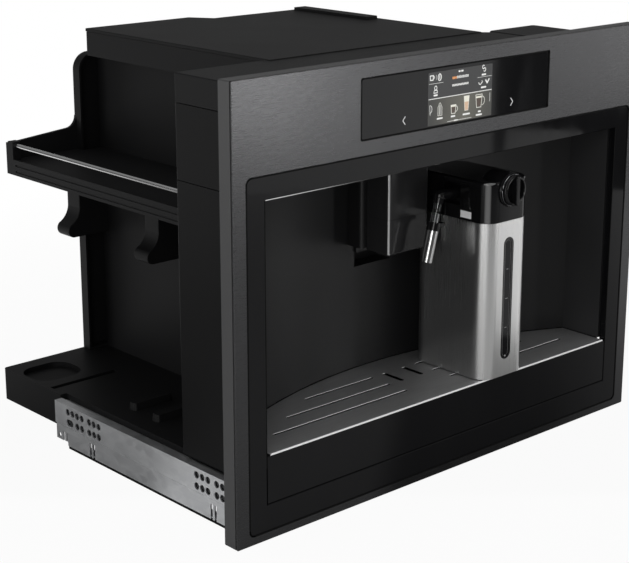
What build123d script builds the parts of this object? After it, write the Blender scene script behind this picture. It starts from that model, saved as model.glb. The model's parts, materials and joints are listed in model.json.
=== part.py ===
from build123d import *

import os
from math import cos, radians, sin, sqrt

# Built-in coffee machine on telescopic rails, with a milk jug standing in its niche.
# Millimetres, +Z up, the front looks along -Y and +X is the right side seen from the front.
# The origin is under the middle of the whole object, level with the front panel's lower edge.
# A depth is measured back from the face of the front panel, and deep() turns it into a Y.

# ---------------------------------------------------------------- driving sizes
panel_width = 597.0
panel_height = 455.0
panel_thick = 19.0
body_depth = 465.0          # front panel's face to the rear panel
knob_proud = 15.0           # how far the froth knob stands out of the panel's face

# Front panel: steel skin, a dark seam behind it and the grey carrier.
skin_thick = 1.6
seam_depth = 1.4
seam_inset = 1.2
bearing_relief = 0.4        # the carrier's back is lower inside the rim that meets the cabinet
cabinet_low = 4.5           # the cabinet's opening behind the panel
cabinet_high = 451.0
cabinet_half = 281.0
glass_height = 355.5        # opening in the skin for the black glass frame
glass_bottom = 8.5
glass_border = 15.5         # steel left beside the opening
glass_corner = 6.5
glass_gap = 0.5             # all round the glass frame
glass_thick = 8.0
glass_inset = 0.4
display_width = 278.0
display_height = 61.0
display_bottom = 379.0
display_corner = 2.2
display_gap = 0.5
display_thick = 2.5

# Niche for the cups.
niche_width = 520.0         # opening in the glass frame
niche_top = 340.0
niche_depth = 126.0         # at the middle of its curved back
niche_radius = 540.0
liner_wall = 3.0
liner_side = 3.0            # the side walls stand this much inside the opening's edge

# Drawer with the drip tray and the grounds box.
drawer_bottom = 36.5
drawer_top = 88.3
drawer_gap = 1.0
drawer_front_thick = 10.0
basin_behind = 9.0          # from the basin's back to the middle of the niche's back
basin_wall = 2.5
basin_bottom = 40.0
grid_thick = 1.5
grid_slot = 3.0
grounds_width = 150.0
grounds_length = 145.0

# Housings.
wall = 3.0
edge_round = 1.5            # on the covers' outer edges
housing_width = 540.0
housing_depth = 121.0
seam = 0.8
head_seam = 341.0           # height of the joint over the side covers
cap_seam = 417.0            # height of the joint under the top cover
front_top = 446.0
tower_top = 447.0
tower_left = 157.0          # left face of the tower's head
tower_right = 155.0
tower_depth_left = 436.0
tower_depth_right = 409.0
tower_step_x = 5.0
cover_lip = 3.5
cap_left = 172.0            # right-hand top cap
cap_right = 250.0
cap_depth = 118.0
cap_groove = 4.0
bay_wall_x = 132.0          # wall between the open bay and the tower
rear_panel_depth = 14.0
rear_panel_left = 158.0
rear_panel_top = 416.0
rear_corner = 20.0

# Base pan.
pan_bottom = 19.0
pan_top = 56.4
pan_floor = 3.0
pan_deck = 8.0
pan_half = 262.0
pan_half_rear = 270.0
pan_step_depth = 345.0
pan_wall = 4.0

# Open bay on the left: shelf, rod and hooks.
shelf_left = 251.0
shelf_floor = 303.0
shelf_thick = 4.0
apron_bottom = 287.0
apron_top = 305.0
rod_diameter = 5.0
rod_clearance = 0.05
rod_height = 320.5
hook_stem = 172.0
hook_nose = 188.0
hook_bottom = 203.0
hook_width = 25.0

# Telescopic rails.
rail_outside = 280.0        # half the cabinet's inner width
rail_bottom = 5.5
rail_top = 54.0
rail_line = 28.2            # height of the step between the two strips
rail_length = 320.0
rail_front = 21.4
rail_sheet = 1.5
rail_inside = 270.6         # nothing on the fixed member stands further in
rail_play = 0.8
rail_hole = 7.6
rail_step = 1.2             # the lower strip is set in behind the upper one
line_height = 1.2           # fine groove under that step
line_sink = 1.0
rail_row_low = 34.5
rail_row_high = 46.5

# Coffee spout.
spout_width = 60.0
spout_length = 33.0         # from its front to its back
spout_behind = 23.0         # from its back to the middle of the niche's back
spout_bottom = 229.0
spout_wall = 2.5
cover_joint = 267.6
spout_travel = 60.0
carriage_travel = 15.0
carriage_width = 76.0
carriage_bottom = 232.0
recess_width = 40.0
recess_bottom = 205.0
recess_depth = 21.0
slide_gap = 0.5

# Milk jug.
jug_left = 43.0
jug_width = 70.0
jug_front = -4.0
jug_behind = 22.0           # from the jug's back to the middle of the niche's back
jug_bottom = 89.3
jug_corner = 18.0
jug_wall = 1.2
shell_top = 264.0
lid_top = 309.0
flask_wall = 2.0
flask_gap = 1.0
window_width = 16.0
window_low = 108.0
window_high = 246.0
window_rim = 2.8
knob_diameter = 36.5
knob_height = 298.0
knob_grip = 3.0
knob_shaft = 8.0
fit_clearance = 0.05
hump_diameter = 38.0
hump_length = 32.0
arm_ahead = 22.0            # from the milk spout's arm to the coffee spout's face
arm_height = 291.0
arm_x = 24.0
arm_diameter = 13.0
milk_tip_x = 5.0
milk_tip_height = 221.0
tube_diameter = 9.0
tube_bore = 6.0
tip_diameter = 13.0
collar_diameter = 14.5

# Water tank and bean hopper on the right.
tank_left = 160.0
tank_right = 258.0
tank_front = 128.0
tank_length = 125.0
tank_lift = 3.6             # from the pan's top to the tank
tank_height = 230.0
valve_height = 14.0         # the tank's valve over its bottom
tank_wall = 2.5
box_right = 262.0
box_front = 262.0
box_top = 372.0
hopper_depth = 66.0
hopper_wall = 2.5
chute_depth = 350.0
chute_height = 325.0        # middle of the chute where it leaves the hopper
chute_slope = 0.23
chute_diameter = 36.0
chute_gap = 2.5
throat_diameter = 52.0
lid_thick = 6.0

# Machinery in the tower.
floor_height = 92.0
bulkhead_depth = 290.0
boiler_shelf = 116.0
grinder_shelf = 166.0
frame_sheet = 2.0
grinder_x = 78.0
grinder_depth = 350.0
grinder_height = 110.0
boiler_diameter = 78.0
boiler_length = 130.0
grinder_diameter = 92.0
burr_diameter = 64.0
burr_shaft = 12.0
brew_x = -20.0
brew_depth = 205.0
brew_bottom = 94.0
brew_top = 300.0
chamber_diameter = 44.0
spindle_diameter = 10.0

# ---------------------------------------------------------------- shared places
panel_y = -(body_depth + knob_proud) / 2 + knob_proud
skin_half = panel_width / 2
spout_back = niche_depth - spout_behind
spout_front = spout_back - spout_length
jug_length = niche_depth - jug_behind - jug_front
arm_depth = spout_front - arm_ahead
tank_bottom = pan_top + tank_lift
glass_half = skin_half - glass_border
glass_top = glass_bottom + glass_height
niche_half = niche_width / 2
liner_half = niche_half - liner_side
housing_half = housing_width / 2
jug_x = jug_left + jug_width / 2
jug_y = panel_y + jug_front + jug_length / 2
rail_end = rail_front + rail_length


def deep(depth):
    """The Y of a depth behind the front panel's face."""
    return panel_y + depth


def upright(depth):
    """A plane that stands at a depth: its sketches are drawn in X and Z."""
    return Plane.XZ.offset(-deep(depth))


def block(x_span, depth_span, z_span, mode=Mode.ADD):
    """A box between two X, two depths and two heights."""
    centre = (sum(x_span) / 2, deep(sum(depth_span) / 2), sum(z_span) / 2)
    with Locations(centre):
        Box(x_span[1] - x_span[0], depth_span[1] - depth_span[0], z_span[1] - z_span[0], mode=mode)


def round_bar(start, end, diameter, mode=Mode.ADD):
    """A cylinder from one point to another."""
    axis = Vector(*end) - Vector(*start)
    with BuildSketch(Plane(origin=start, z_dir=axis)) as disc:
        Circle(diameter / 2)
    extrude(disc.sketch, amount=axis.length, mode=mode)


def arc_depth(x, outward=0.0):
    """The depth of the niche's curved back at an X, moved back by outward."""
    radius = niche_radius + outward
    return niche_depth + outward - radius + sqrt(radius * radius - x * x)


# ---------------------------------------------------------------- telescopic rails
race_low = rail_line + rail_sheet + rail_play
race_high = rail_top - rail_sheet - rail_play
core_low = race_low + rail_sheet + rail_play
core_high = race_high - rail_sheet - rail_play
strip_x = rail_outside - rail_step
front_holes = (36.0, 45.0, 54.0, 68.0, 77.0, 86.0)
rear_holes = (257.0, 266.0, 275.0, 289.0, 298.0)
top_rear_holes = (307.0, 316.0)
tab_bottom = 9.5             # the rail's end tab is shorter than the strip
lug_top = 20.0
window_top = 22.0
tongue_width = 3.4
slit_width = 3.0

with BuildPart() as rail_outer_left:
    # Upper channel for the balls, open towards the machine.
    with BuildSketch(upright(rail_front)):
        with Locations((-rail_outside, rail_line)):
            Rectangle(rail_sheet, rail_top - rail_line, align=(Align.MIN, Align.MIN))
            Rectangle(rail_outside - rail_inside, rail_sheet, align=(Align.MIN, Align.MIN))
        with Locations((-rail_outside, rail_top - rail_sheet)):
            Rectangle(rail_outside - rail_inside, rail_sheet, align=(Align.MIN, Align.MIN))
        # Lower strip, set in a little, with its foot turned in.
        with Locations((-strip_x, rail_bottom)):
            Rectangle(rail_sheet, rail_line - rail_bottom + rail_sheet / 2, align=(Align.MIN, Align.MIN))
    extrude(amount=-rail_length)
    block((-strip_x, -strip_x + 13), (rail_front, rail_end - 25), (rail_bottom, rail_bottom + rail_sheet))
    block((-strip_x - 1, -strip_x + line_sink), (rail_front - 1, rail_end + 1),
          (rail_line - line_height, rail_line), mode=Mode.SUBTRACT)
    # Screw holes for the cabinet wall in two rows, and one slot.
    screw_rows = [(d, z) for d in front_holes + rear_holes for z in (rail_row_low, rail_row_high)]
    screw_rows += [(d, rail_row_high) for d in top_rear_holes]
    for depth, height in screw_rows:
        round_bar((-rail_outside - 2, deep(depth), height), (-rail_outside + 3, deep(depth), height),
                  rail_hole, mode=Mode.SUBTRACT)
    slot_depth = sum(top_rear_holes) / 2 + 1
    with BuildSketch(Plane.YZ.offset(-rail_outside - 2)):
        with Locations((deep(slot_depth), rail_row_low)):
            SlotOverall(13, rail_hole)
    extrude(amount=5, mode=Mode.SUBTRACT)
    # Locating hole, sprung lug and tab windows in the lower strip.
    round_bar((-strip_x - 2, deep(rail_end - 6), 14.5), (-strip_x + 3, deep(rail_end - 6), 14.5),
              5.0, mode=Mode.SUBTRACT)
    block((-strip_x - 1, -strip_x + 2), (rail_end - 22, rail_end + 1), (rail_bottom - 1, tab_bottom),
          mode=Mode.SUBTRACT)
    block((-strip_x - 1, -strip_x + 2), (rail_end - 21, rail_end - 13), (tab_bottom - 1, lug_top),
          mode=Mode.SUBTRACT)
    block((-strip_x + 0.6, -strip_x + 2.1), (rail_end - 19, rail_end - 15), (tab_bottom, lug_top + 2))
    # Tongues that hang in windows of the lower strip.
    for depth in (61.0, 272.0):
        for side in (-1, 1):
            slit = sorted((depth + side * tongue_width / 2, depth + side * (tongue_width / 2 + slit_width)))
            block((-strip_x - 1, -strip_x + 2), slit, (rail_bottom - 1, window_top), mode=Mode.SUBTRACT)

with BuildPart() as rail_outer_right:
    mirror(rail_outer_left.part, about=Plane.YZ)

with BuildPart() as rail_middle_left:
    with BuildSketch(upright(rail_front)):
        with Locations((-rail_outside + rail_sheet + rail_play, race_low)):
            Rectangle(rail_sheet, race_high - race_low, align=(Align.MIN, Align.MIN))
        for height in (race_low, race_high - rail_sheet):
            with Locations((-rail_inside, height)):
                Rectangle(rail_outside - rail_inside - rail_sheet - rail_play, rail_sheet,
                          align=(Align.MAX, Align.MIN))
    extrude(amount=-rail_length)

with BuildPart() as rail_middle_right:
    mirror(rail_middle_left.part, about=Plane.YZ)

inner_tip = rail_outside - 2 * (rail_sheet + rail_play)
rail_screw_depths = (50.0, 170.0, 300.0)
with BuildPart() as rail_inner_left:
    with BuildSketch(upright(rail_front)):
        with Locations((-pan_half, core_low)):
            Rectangle(rail_sheet, core_high - core_low, align=(Align.MAX, Align.MIN))
        for height in (core_low, core_high - rail_sheet):
            with Locations((-pan_half, height)):
                Rectangle(inner_tip - pan_half, rail_sheet, align=(Align.MAX, Align.MIN))
    extrude(amount=-rail_length)
    for depth in rail_screw_depths:
        round_bar((-pan_half - 3, deep(depth), (core_low + core_high) / 2),
                  (-pan_half + 1, deep(depth), (core_low + core_high) / 2), 4.2, mode=Mode.SUBTRACT)

with BuildPart() as rail_inner_right:
    mirror(rail_inner_left.part, about=Plane.YZ)

with BuildPart() as rail_screws:
    # Pan-head screws that hold the inner members to the base pan.
    for side in (-1, 1):
        for depth in rail_screw_depths:
            middle = (core_low + core_high) / 2
            head = side * (pan_half + rail_sheet)
            round_bar((head, deep(depth), middle), (head + side * 2, deep(depth), middle), 7.0)
            round_bar((side * (pan_half - pan_wall), deep(depth), middle), (head, deep(depth), middle), 4.0)

# ---------------------------------------------------------------- base pan
recess_x, recess_depth_at = -234.0, 417.0
recess_length = 62.0
recess_width = 55.0
recess_corner = 21.0
recess_sink = pan_deck - 2.0
groove_width = 8.0
groove_sink = 3.0
rib_width = 13.0
rib_height = 8.0
with BuildPart() as base_pan:
    block((-pan_half, pan_half), (rail_front, pan_step_depth), (pan_bottom, pan_top))
    block((-pan_half_rear, pan_half_rear), (pan_step_depth, body_depth), (pan_bottom, pan_top))
    fillet(base_pan.edges().filter_by(Axis.Z).group_by(Axis.Y)[-1], 3 * edge_round)
    # Room for the drawer, open at the front.
    inside = pan_half - pan_wall
    block((-inside, inside), (rail_front - 1, housing_depth + 0.5), (pan_bottom + pan_floor, pan_top + 1),
          mode=Mode.SUBTRACT)
    # Well under the tower.
    block((-bay_wall_x, tower_right), (housing_depth, body_depth - pan_wall),
          (pan_bottom + pan_floor, pan_top + 1), mode=Mode.SUBTRACT)
    # The two decks beside the tower are hollow underneath.
    for low, high, rear in ((-inside, -bay_wall_x - 6, -pan_half_rear + pan_wall),
                            (tower_right + 6, inside, pan_half_rear - pan_wall)):
        block((low, high), (housing_depth + 4, pan_step_depth), (pan_bottom - 1, pan_top - pan_deck),
              mode=Mode.SUBTRACT)
        block((min(low, rear), max(high, rear)), (pan_step_depth, body_depth - pan_wall),
              (pan_bottom - 1, pan_top - pan_deck), mode=Mode.SUBTRACT)
    # Recess with a thin floor, a drain groove and two stiffening ribs on the left deck.
    with BuildSketch(Plane.XY.offset(pan_top - recess_sink)):
        with Locations((recess_x, deep(recess_depth_at))):
            RectangleRounded(recess_length, recess_width, recess_corner)
    extrude(amount=recess_sink + 1, mode=Mode.SUBTRACT)
    block((-pan_half_rear + 5, -bay_wall_x - 46), (365, 365 + groove_width),
          (pan_top - groove_sink, pan_top + 1), mode=Mode.SUBTRACT)
    for depth, left, right in ((254.0, -238.0, -186.0), (210.0, -240.0, -190.0)):
        with BuildSketch(Plane.XY.offset(pan_top)):
            with Locations(((left + right) / 2, deep(depth))):
                RectangleRounded(right - left, rib_width, 4)
        extrude(amount=rib_height, taper=8)
    # Holes for the rail screws.
    for side in (-1, 1):
        for depth in rail_screw_depths:
            middle = (core_low + core_high) / 2
            round_bar((side * (pan_half - pan_wall - 1), deep(depth), middle),
                      (side * (pan_half + 1), deep(depth), middle), 4.2, mode=Mode.SUBTRACT)

# ---------------------------------------------------------------- front panel
skin_middle = panel_height / 2
glass_middle = (glass_bottom + glass_top) / 2
display_middle = display_bottom + display_height / 2

with BuildPart() as front_skin:
    with BuildSketch(upright(0)):
        with Locations((0, skin_middle)):
            RectangleRounded(panel_width, panel_height, 1.5)
        with Locations((0, glass_middle)):
            RectangleRounded(2 * glass_half, glass_height, glass_corner, mode=Mode.SUBTRACT)
        with Locations((0, display_middle)):
            RectangleRounded(display_width, display_height, display_corner, mode=Mode.SUBTRACT)
    extrude(amount=-skin_thick)
    outer_rim = front_skin.faces().sort_by(Axis.Y)[0].outer_wire().edges()
    chamfer(outer_rim, 0.3)

with BuildPart() as panel_carrier:
    # Set-back lip that makes the dark seam, then the full-size grey carrier.
    with BuildSketch(upright(skin_thick)):
        with Locations((0, skin_middle)):
            Rectangle(panel_width - 2 * seam_inset, panel_height - 2 * seam_inset)
    extrude(amount=-seam_depth)
    with BuildSketch(upright(skin_thick + seam_depth)):
        with Locations((0, skin_middle)):
            RectangleRounded(panel_width, panel_height, 1.5)
    extrude(amount=-(panel_thick - skin_thick - seam_depth))
    with BuildSketch(upright(0)):
        with Locations((0, glass_middle)):
            RectangleRounded(2 * glass_half, glass_height, glass_corner)
        with Locations((0, display_middle)):
            Rectangle(display_width + 2, display_height - 4)
    extrude(amount=-panel_thick - 1, mode=Mode.SUBTRACT)
    # Pocket that the display glass lies in.
    with BuildSketch(upright(0)):
        with Locations((0, display_middle)):
            Rectangle(display_width + 2, display_height + 2)
    extrude(amount=-skin_thick - seam_depth - 1, mode=Mode.SUBTRACT)
    # Shallow relief on the back that leaves the bearing rim standing.
    block((-cabinet_half, cabinet_half), (panel_thick - bearing_relief, panel_thick + 1),
          (cabinet_low, cabinet_high), mode=Mode.SUBTRACT)

with BuildPart() as glass_frame:
    with BuildSketch(upright(glass_inset)):
        with Locations((0, glass_middle)):
            RectangleRounded(2 * (glass_half - glass_gap), glass_height - 2 * glass_gap,
                             glass_corner - glass_gap)
        with Locations((0, (drawer_bottom + niche_top) / 2)):
            Rectangle(niche_width, niche_top - drawer_bottom, mode=Mode.SUBTRACT)
    extrude(amount=-glass_thick)
    inner_rim = [e for e in glass_frame.faces().sort_by(Axis.Y)[0].edges()
                 if abs(e.center().X) < niche_half + 1 and drawer_bottom - 1 < e.center().Z < niche_top + 1]
    chamfer(inner_rim, 0.8)

with BuildPart() as display_glass:
    with BuildSketch(upright(glass_inset)):
        with Locations((0, display_middle)):
            RectangleRounded(display_width - 2 * display_gap, display_height - 2 * display_gap,
                             display_corner - display_gap)
    extrude(amount=-display_thick)

module_front = glass_inset + display_thick + 0.2
with BuildPart() as control_board:
    block((-display_width / 2 + 6, display_width / 2 - 6), (module_front + 10, module_front + 11.6),
          (display_bottom + 4, display_bottom + display_height - 4))
    for x_low, size, tall in ((-110, 22, 5), (-40, 30, 3), (15, 12, 6), (70, 26, 3)):
        block((x_low, x_low + size), (module_front + 11.6, module_front + 11.6 + tall),
              (display_middle - 12, display_middle + 12))

# ---------------------------------------------------------------- niche
liner_bottom = drawer_top + 0.7
liner_front = glass_inset + glass_thick + 0.1


def niche_plan(outward):
    """The niche's outline seen from above: flat sides and the curved back."""
    half = liner_half + outward
    with BuildLine() as outline:
        Polyline((-half, deep(arc_depth(half, outward))), (-half, deep(liner_front)),
                 (half, deep(liner_front)), (half, deep(arc_depth(half, outward))))
        ThreePointArc((half, deep(arc_depth(half, outward))), (0, deep(niche_depth + outward)),
                      (-half, deep(arc_depth(half, outward))))
    make_face(outline.edges())


trough_half = recess_width / 2 + liner_wall
with BuildPart() as niche_liner:
    with BuildSketch(Plane.XY.offset(liner_bottom)):
        niche_plan(liner_wall)
    extrude(amount=niche_top + liner_wall - liner_bottom)
    # Trough behind the back wall, in which the spout's carriage runs.
    block((-trough_half, trough_half), (niche_depth - 10, niche_depth + recess_depth + liner_wall),
          (recess_bottom - liner_wall, niche_top + liner_wall))
    # Flange that the glass frame is bonded to.
    with BuildSketch(upright(liner_front)):
        with Locations((0, (liner_bottom + niche_top) / 2)):
            Rectangle(2 * (liner_half + 7), niche_top - liner_bottom)
        with Locations((0, niche_top + 7)):
            Rectangle(2 * (liner_half + 7), 14)
    extrude(amount=-2.5)
    with BuildSketch(Plane.XY.offset(liner_bottom - 1)):
        niche_plan(0)
    extrude(amount=niche_top - liner_bottom + 1, mode=Mode.SUBTRACT)
    block((-recess_width / 2, recess_width / 2), (niche_depth - 12, niche_depth + recess_depth),
          (recess_bottom, niche_top), mode=Mode.SUBTRACT)

nozzle_height = 290.0
nozzle_diameter = 8.0
steam_bore = 3.0
connector_gap = 3.0          # from the jug's back to the connector
jug_back = jug_front + jug_length
connector_front = jug_back + connector_gap
with BuildPart() as milk_connector:
    # Steam outlet on the niche's back, behind the jug's lid. Its back follows the curve of the niche.
    left, right = jug_x - 20, jug_x + 20
    back_left, back_middle, back_right = [deep(arc_depth(x) - 0.2) for x in (left, jug_x, right)]
    with BuildSketch(Plane.XY.offset(shell_top)):
        with BuildLine():
            Polyline((left, back_left), (left, deep(connector_front)), (right, deep(connector_front)),
                     (right, back_right))
            ThreePointArc((right, back_right), (jug_x, back_middle), (left, back_left))
        make_face()
    extrude(amount=lid_top - shell_top - 3)
    round_bar((jug_x, deep(connector_front + 1), nozzle_height), (jug_x, deep(jug_back - 8), nozzle_height),
              nozzle_diameter)
    round_bar((jug_x, deep(connector_front + 5), nozzle_height), (jug_x, deep(jug_back - 9), nozzle_height),
              steam_bore, mode=Mode.SUBTRACT)

# ---------------------------------------------------------------- drawer
grid_bottom = drawer_top - grid_thick
drawer_half = niche_half - drawer_gap
basin_half = drawer_half - 5.0
basin_rear = niche_depth - basin_behind
cradle_rear = basin_rear + grounds_length + 6
basin_top = grid_bottom - 0.3
with BuildPart() as drawer_front:
    block((-drawer_half, drawer_half), (glass_inset, drawer_front_thick),
          (drawer_bottom + drawer_gap, grid_bottom - 0.2))
    face_rim = drawer_front.faces().sort_by(Axis.Y)[0].edges()
    chamfer(face_rim, 0.5)

with BuildPart() as drip_basin:
    block((-basin_half, basin_half), (drawer_front_thick, basin_rear), (basin_bottom, basin_top))
    block((-basin_half + basin_wall, basin_half - basin_wall),
          (drawer_front_thick + basin_wall, basin_rear - basin_wall),
          (basin_bottom + basin_wall, basin_top + 1), mode=Mode.SUBTRACT)
    # Cradle behind the basin for the grounds box.
    cradle_half = grounds_width / 2 + 5
    block((-cradle_half, cradle_half), (basin_rear, cradle_rear), (basin_bottom, basin_bottom + basin_wall))
    for side in (-1, 1):
        inner, outer = sorted((side * (cradle_half - basin_wall), side * cradle_half))
        block((inner, outer), (basin_rear, cradle_rear), (basin_bottom, basin_bottom + 14))

slot_rows = ((90.0, 222.0), (64.0, 182.0), (37.5, 132.0))    # from the niche's back, and reach in X
slot_start = 33.0
cross_slot_x = 15.0
cross_slot_behind = 51.0
cross_slot_length = 30.0
cross_slot_wide = 5.5
grid_half = basin_half + 2.0
with BuildPart() as drip_grid:
    grid_clear = -1.0
    with BuildSketch(Plane.XY.offset(grid_bottom)):
        with BuildLine():
            Polyline((-grid_half, deep(arc_depth(grid_half, grid_clear))), (-grid_half, deep(glass_inset)),
                     (grid_half, deep(glass_inset)), (grid_half, deep(arc_depth(grid_half, grid_clear))))
            ThreePointArc((grid_half, deep(arc_depth(grid_half, grid_clear))),
                          (0, deep(niche_depth + grid_clear)),
                          (-grid_half, deep(arc_depth(grid_half, grid_clear))))
        make_face()
        for behind, reach in slot_rows:
            for side in (-1, 1):
                with Locations((side * (slot_start + reach) / 2, deep(niche_depth - behind))):
                    SlotOverall(reach - slot_start, grid_slot, mode=Mode.SUBTRACT)
        for side in (-1, 1):
            with Locations((side * cross_slot_x, deep(niche_depth - cross_slot_behind))):
                SlotOverall(cross_slot_length, cross_slot_wide, rotation=90, mode=Mode.SUBTRACT)
    extrude(amount=grid_thick)

with BuildPart() as grounds_box:
    low = basin_bottom + basin_wall + 0.3
    front, back = basin_rear + 3, basin_rear + 3 + grounds_length
    block((-grounds_width / 2, grounds_width / 2), (front, back), (low, basin_top))
    fillet(grounds_box.edges().filter_by(Axis.Z), 8)
    block((-grounds_width / 2 + 2, grounds_width / 2 - 2), (front + 2, back - 2), (low + 2, basin_top + 1),
          mode=Mode.SUBTRACT)

# ---------------------------------------------------------------- covers round the niche
with BuildPart() as side_cover_left:
    block((-housing_half, -housing_half + wall), (panel_thick + 0.3, housing_depth),
          (pan_top + 0.4, head_seam - seam / 2))
    block((-housing_half, -bay_wall_x + wall), (housing_depth - wall, housing_depth),
          (pan_top + 0.4, head_seam - seam / 2))
    outer_corner = side_cover_left.edges().filter_by(Axis.Z).sort_by(Axis.X)[:3].sort_by(Axis.Y)[-1]
    fillet(outer_corner, edge_round)

with BuildPart() as side_cover_right:
    block((housing_half - wall, housing_half), (panel_thick + 0.3, housing_depth),
          (pan_top + 0.4, head_seam - seam / 2))
    block((tower_right - wall, housing_half), (housing_depth - wall, housing_depth),
          (pan_top + 0.4, head_seam - seam / 2))
    # Shoulder beside the head, over the niche's ceiling.
    shoulder = niche_top + liner_wall + 0.5
    block((housing_half - wall, housing_half), (panel_thick + 0.3, housing_depth), (head_seam - 1, shoulder))
    block((cap_right + 0.5, housing_half), (panel_thick + 0.3, housing_depth), (shoulder, shoulder + wall))

with BuildPart() as head_housing:
    low, high = head_seam + seam / 2, cap_seam - seam / 2
    block((-housing_half, cap_right), (panel_thick + 0.3, housing_depth), (low, high))
    fillet(head_housing.edges().filter_by(Axis.Z), edge_round)
    block((-housing_half + wall, cap_right - wall), (panel_thick + 0.3 + wall, housing_depth - wall),
          (low - 1, high + 1), mode=Mode.SUBTRACT)
    # Open to the tower behind and to the display in front, and clear of the niche's ceiling.
    block((-bay_wall_x + wall, tower_right - wall), (housing_depth - 10, housing_depth + 1),
          (low - 1, high + 1), mode=Mode.SUBTRACT)
    block((-display_width / 2 + 4, display_width / 2 - 4), (panel_thick, panel_thick + 10),
          (display_bottom, high + 1), mode=Mode.SUBTRACT)
    block((-liner_half - liner_wall - 0.5, housing_half), (panel_thick, housing_depth - wall - 0.5),
          (low - 1, niche_top + liner_wall + 0.5), mode=Mode.SUBTRACT)

with BuildPart() as top_cover:
    # One cover over the front housing and the tower.
    cover_right = cap_left - cap_groove
    with BuildSketch(Plane.XY.offset(cap_seam + seam / 2)):
        with BuildLine():
            Polyline((-housing_half, deep(panel_thick + 0.6)), (cover_right - 14, deep(panel_thick + 0.6)),
                     (cover_right, deep(panel_thick + 14)), (cover_right, deep(housing_depth - 14)),
                     (cover_right - 14, deep(housing_depth)), (-housing_half, deep(housing_depth)),
                     close=True)
        make_face()
        round_corners = [v for v in vertices() if v.X > 100]
        fillet(round_corners, 8)
        square_corners = vertices().group_by(Axis.X)[0]
        fillet(square_corners, edge_round)
    extrude(amount=front_top - cap_seam - seam / 2)
    fillet(top_cover.edges().group_by(Axis.Z)[-1], edge_round)
    block((-housing_half + wall, cover_right - wall - 10), (panel_thick, housing_depth - wall),
          (cap_seam - 1, front_top - wall), mode=Mode.SUBTRACT)
    block((-tower_left + wall, tower_right - wall), (panel_thick, housing_depth + 1),
          (cap_seam - 1, front_top - wall), mode=Mode.SUBTRACT)
    # Plate over the tower, deeper on its left half.
    with BuildSketch(Plane.XY.offset(tower_top - cover_lip)):
        with BuildLine():
            Polyline((-tower_left, deep(housing_depth - 8)), (-tower_left, deep(tower_depth_left)),
                     (tower_step_x - 14, deep(tower_depth_left)),
                     (tower_step_x + 4, deep(tower_depth_right)), (tower_right, deep(tower_depth_right)),
                     (tower_right, deep(housing_depth - 8)), close=True)
        make_face()
    extrude(amount=cover_lip)
    plate_rim = top_cover.faces().sort_by(Axis.Z)[-1].edges()
    fillet(plate_rim, edge_round / 2)
    # Raised strip along the right edge.
    block((132, 150), (275, 404), (tower_top, tower_top + 3.5))

with BuildPart() as top_cap_right:
    with BuildSketch(Plane.XY.offset(cap_seam + seam / 2)):
        with Locations(((cap_left + cap_right) / 2, deep((panel_thick + 0.6 + cap_depth) / 2))):
            RectangleRounded(cap_right - cap_left, cap_depth - panel_thick - 0.6, 5)
    extrude(amount=front_top - cap_seam - seam / 2)
    offset(amount=-wall, openings=top_cap_right.faces().sort_by(Axis.Z)[0])
    fillet(top_cap_right.faces().sort_by(Axis.Z)[-1].edges(), edge_round)

# ---------------------------------------------------------------- tower
tower_front = housing_depth + 0.3
wall_low = pan_bottom + pan_floor
with BuildPart() as bay_wall:
    block((-bay_wall_x, -bay_wall_x + wall), (tower_front, body_depth - rear_panel_depth),
          (wall_low, rear_panel_top - 0.2))

hopper_left, hopper_right = tower_right + 4.5, box_right - 4
chute_x = hopper_left + 22


def on_chute(x):
    """The point of the bean chute's middle line at an X."""
    return (x, deep(chute_depth), chute_height - (chute_x - x) * chute_slope)


with BuildPart() as tower_right_wall:
    block((tower_right - wall, tower_right), (tower_front, body_depth - rear_panel_depth),
          (wall_low, rear_panel_top - 0.2))
    # Opening for the bean chute and a feed hole for the tank's valve.
    round_bar(on_chute(tower_right - wall - 10), on_chute(tower_right + 10), chute_diameter + 2 * chute_gap,
              mode=Mode.SUBTRACT)
    valve_depth = tank_front + tank_length / 2
    round_bar((tower_right - 5, deep(valve_depth), tank_bottom + valve_height),
              (tower_right + 2, deep(valve_depth), tank_bottom + valve_height), 14, mode=Mode.SUBTRACT)

head_top = tower_top - cover_lip - 0.3
with BuildPart() as tower_head:
    # Upper section, wider than the tower below it on the left.
    with BuildSketch(Plane.XY.offset(rear_panel_top)):
        with BuildLine():
            Polyline((-tower_left, deep(tower_front)), (-tower_left, deep(tower_depth_left - 1.5)),
                     (tower_step_x - 15, deep(tower_depth_left - 1.5)),
                     (tower_step_x + 3, deep(tower_depth_right - 1.5)),
                     (tower_right, deep(tower_depth_right - 1.5)), (tower_right, deep(tower_front)),
                     close=True)
        make_face()
        offset(amount=-wall, mode=Mode.SUBTRACT)
    extrude(amount=head_top - rear_panel_top)
    block((-bay_wall_x, tower_right - wall), (tower_front - 1, tower_front + wall + 1),
          (rear_panel_top - 1, head_top + 1), mode=Mode.SUBTRACT)
    # Sole under the overhang, and the ledge that closes the tower behind it.
    block((-tower_left, -bay_wall_x + wall), (tower_front, tower_depth_left - 1.5),
          (rear_panel_top, rear_panel_top + wall))
    block((-bay_wall_x, tower_right), (tower_depth_right - 1.5 - wall, body_depth),
          (rear_panel_top, rear_panel_top + wall))

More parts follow.
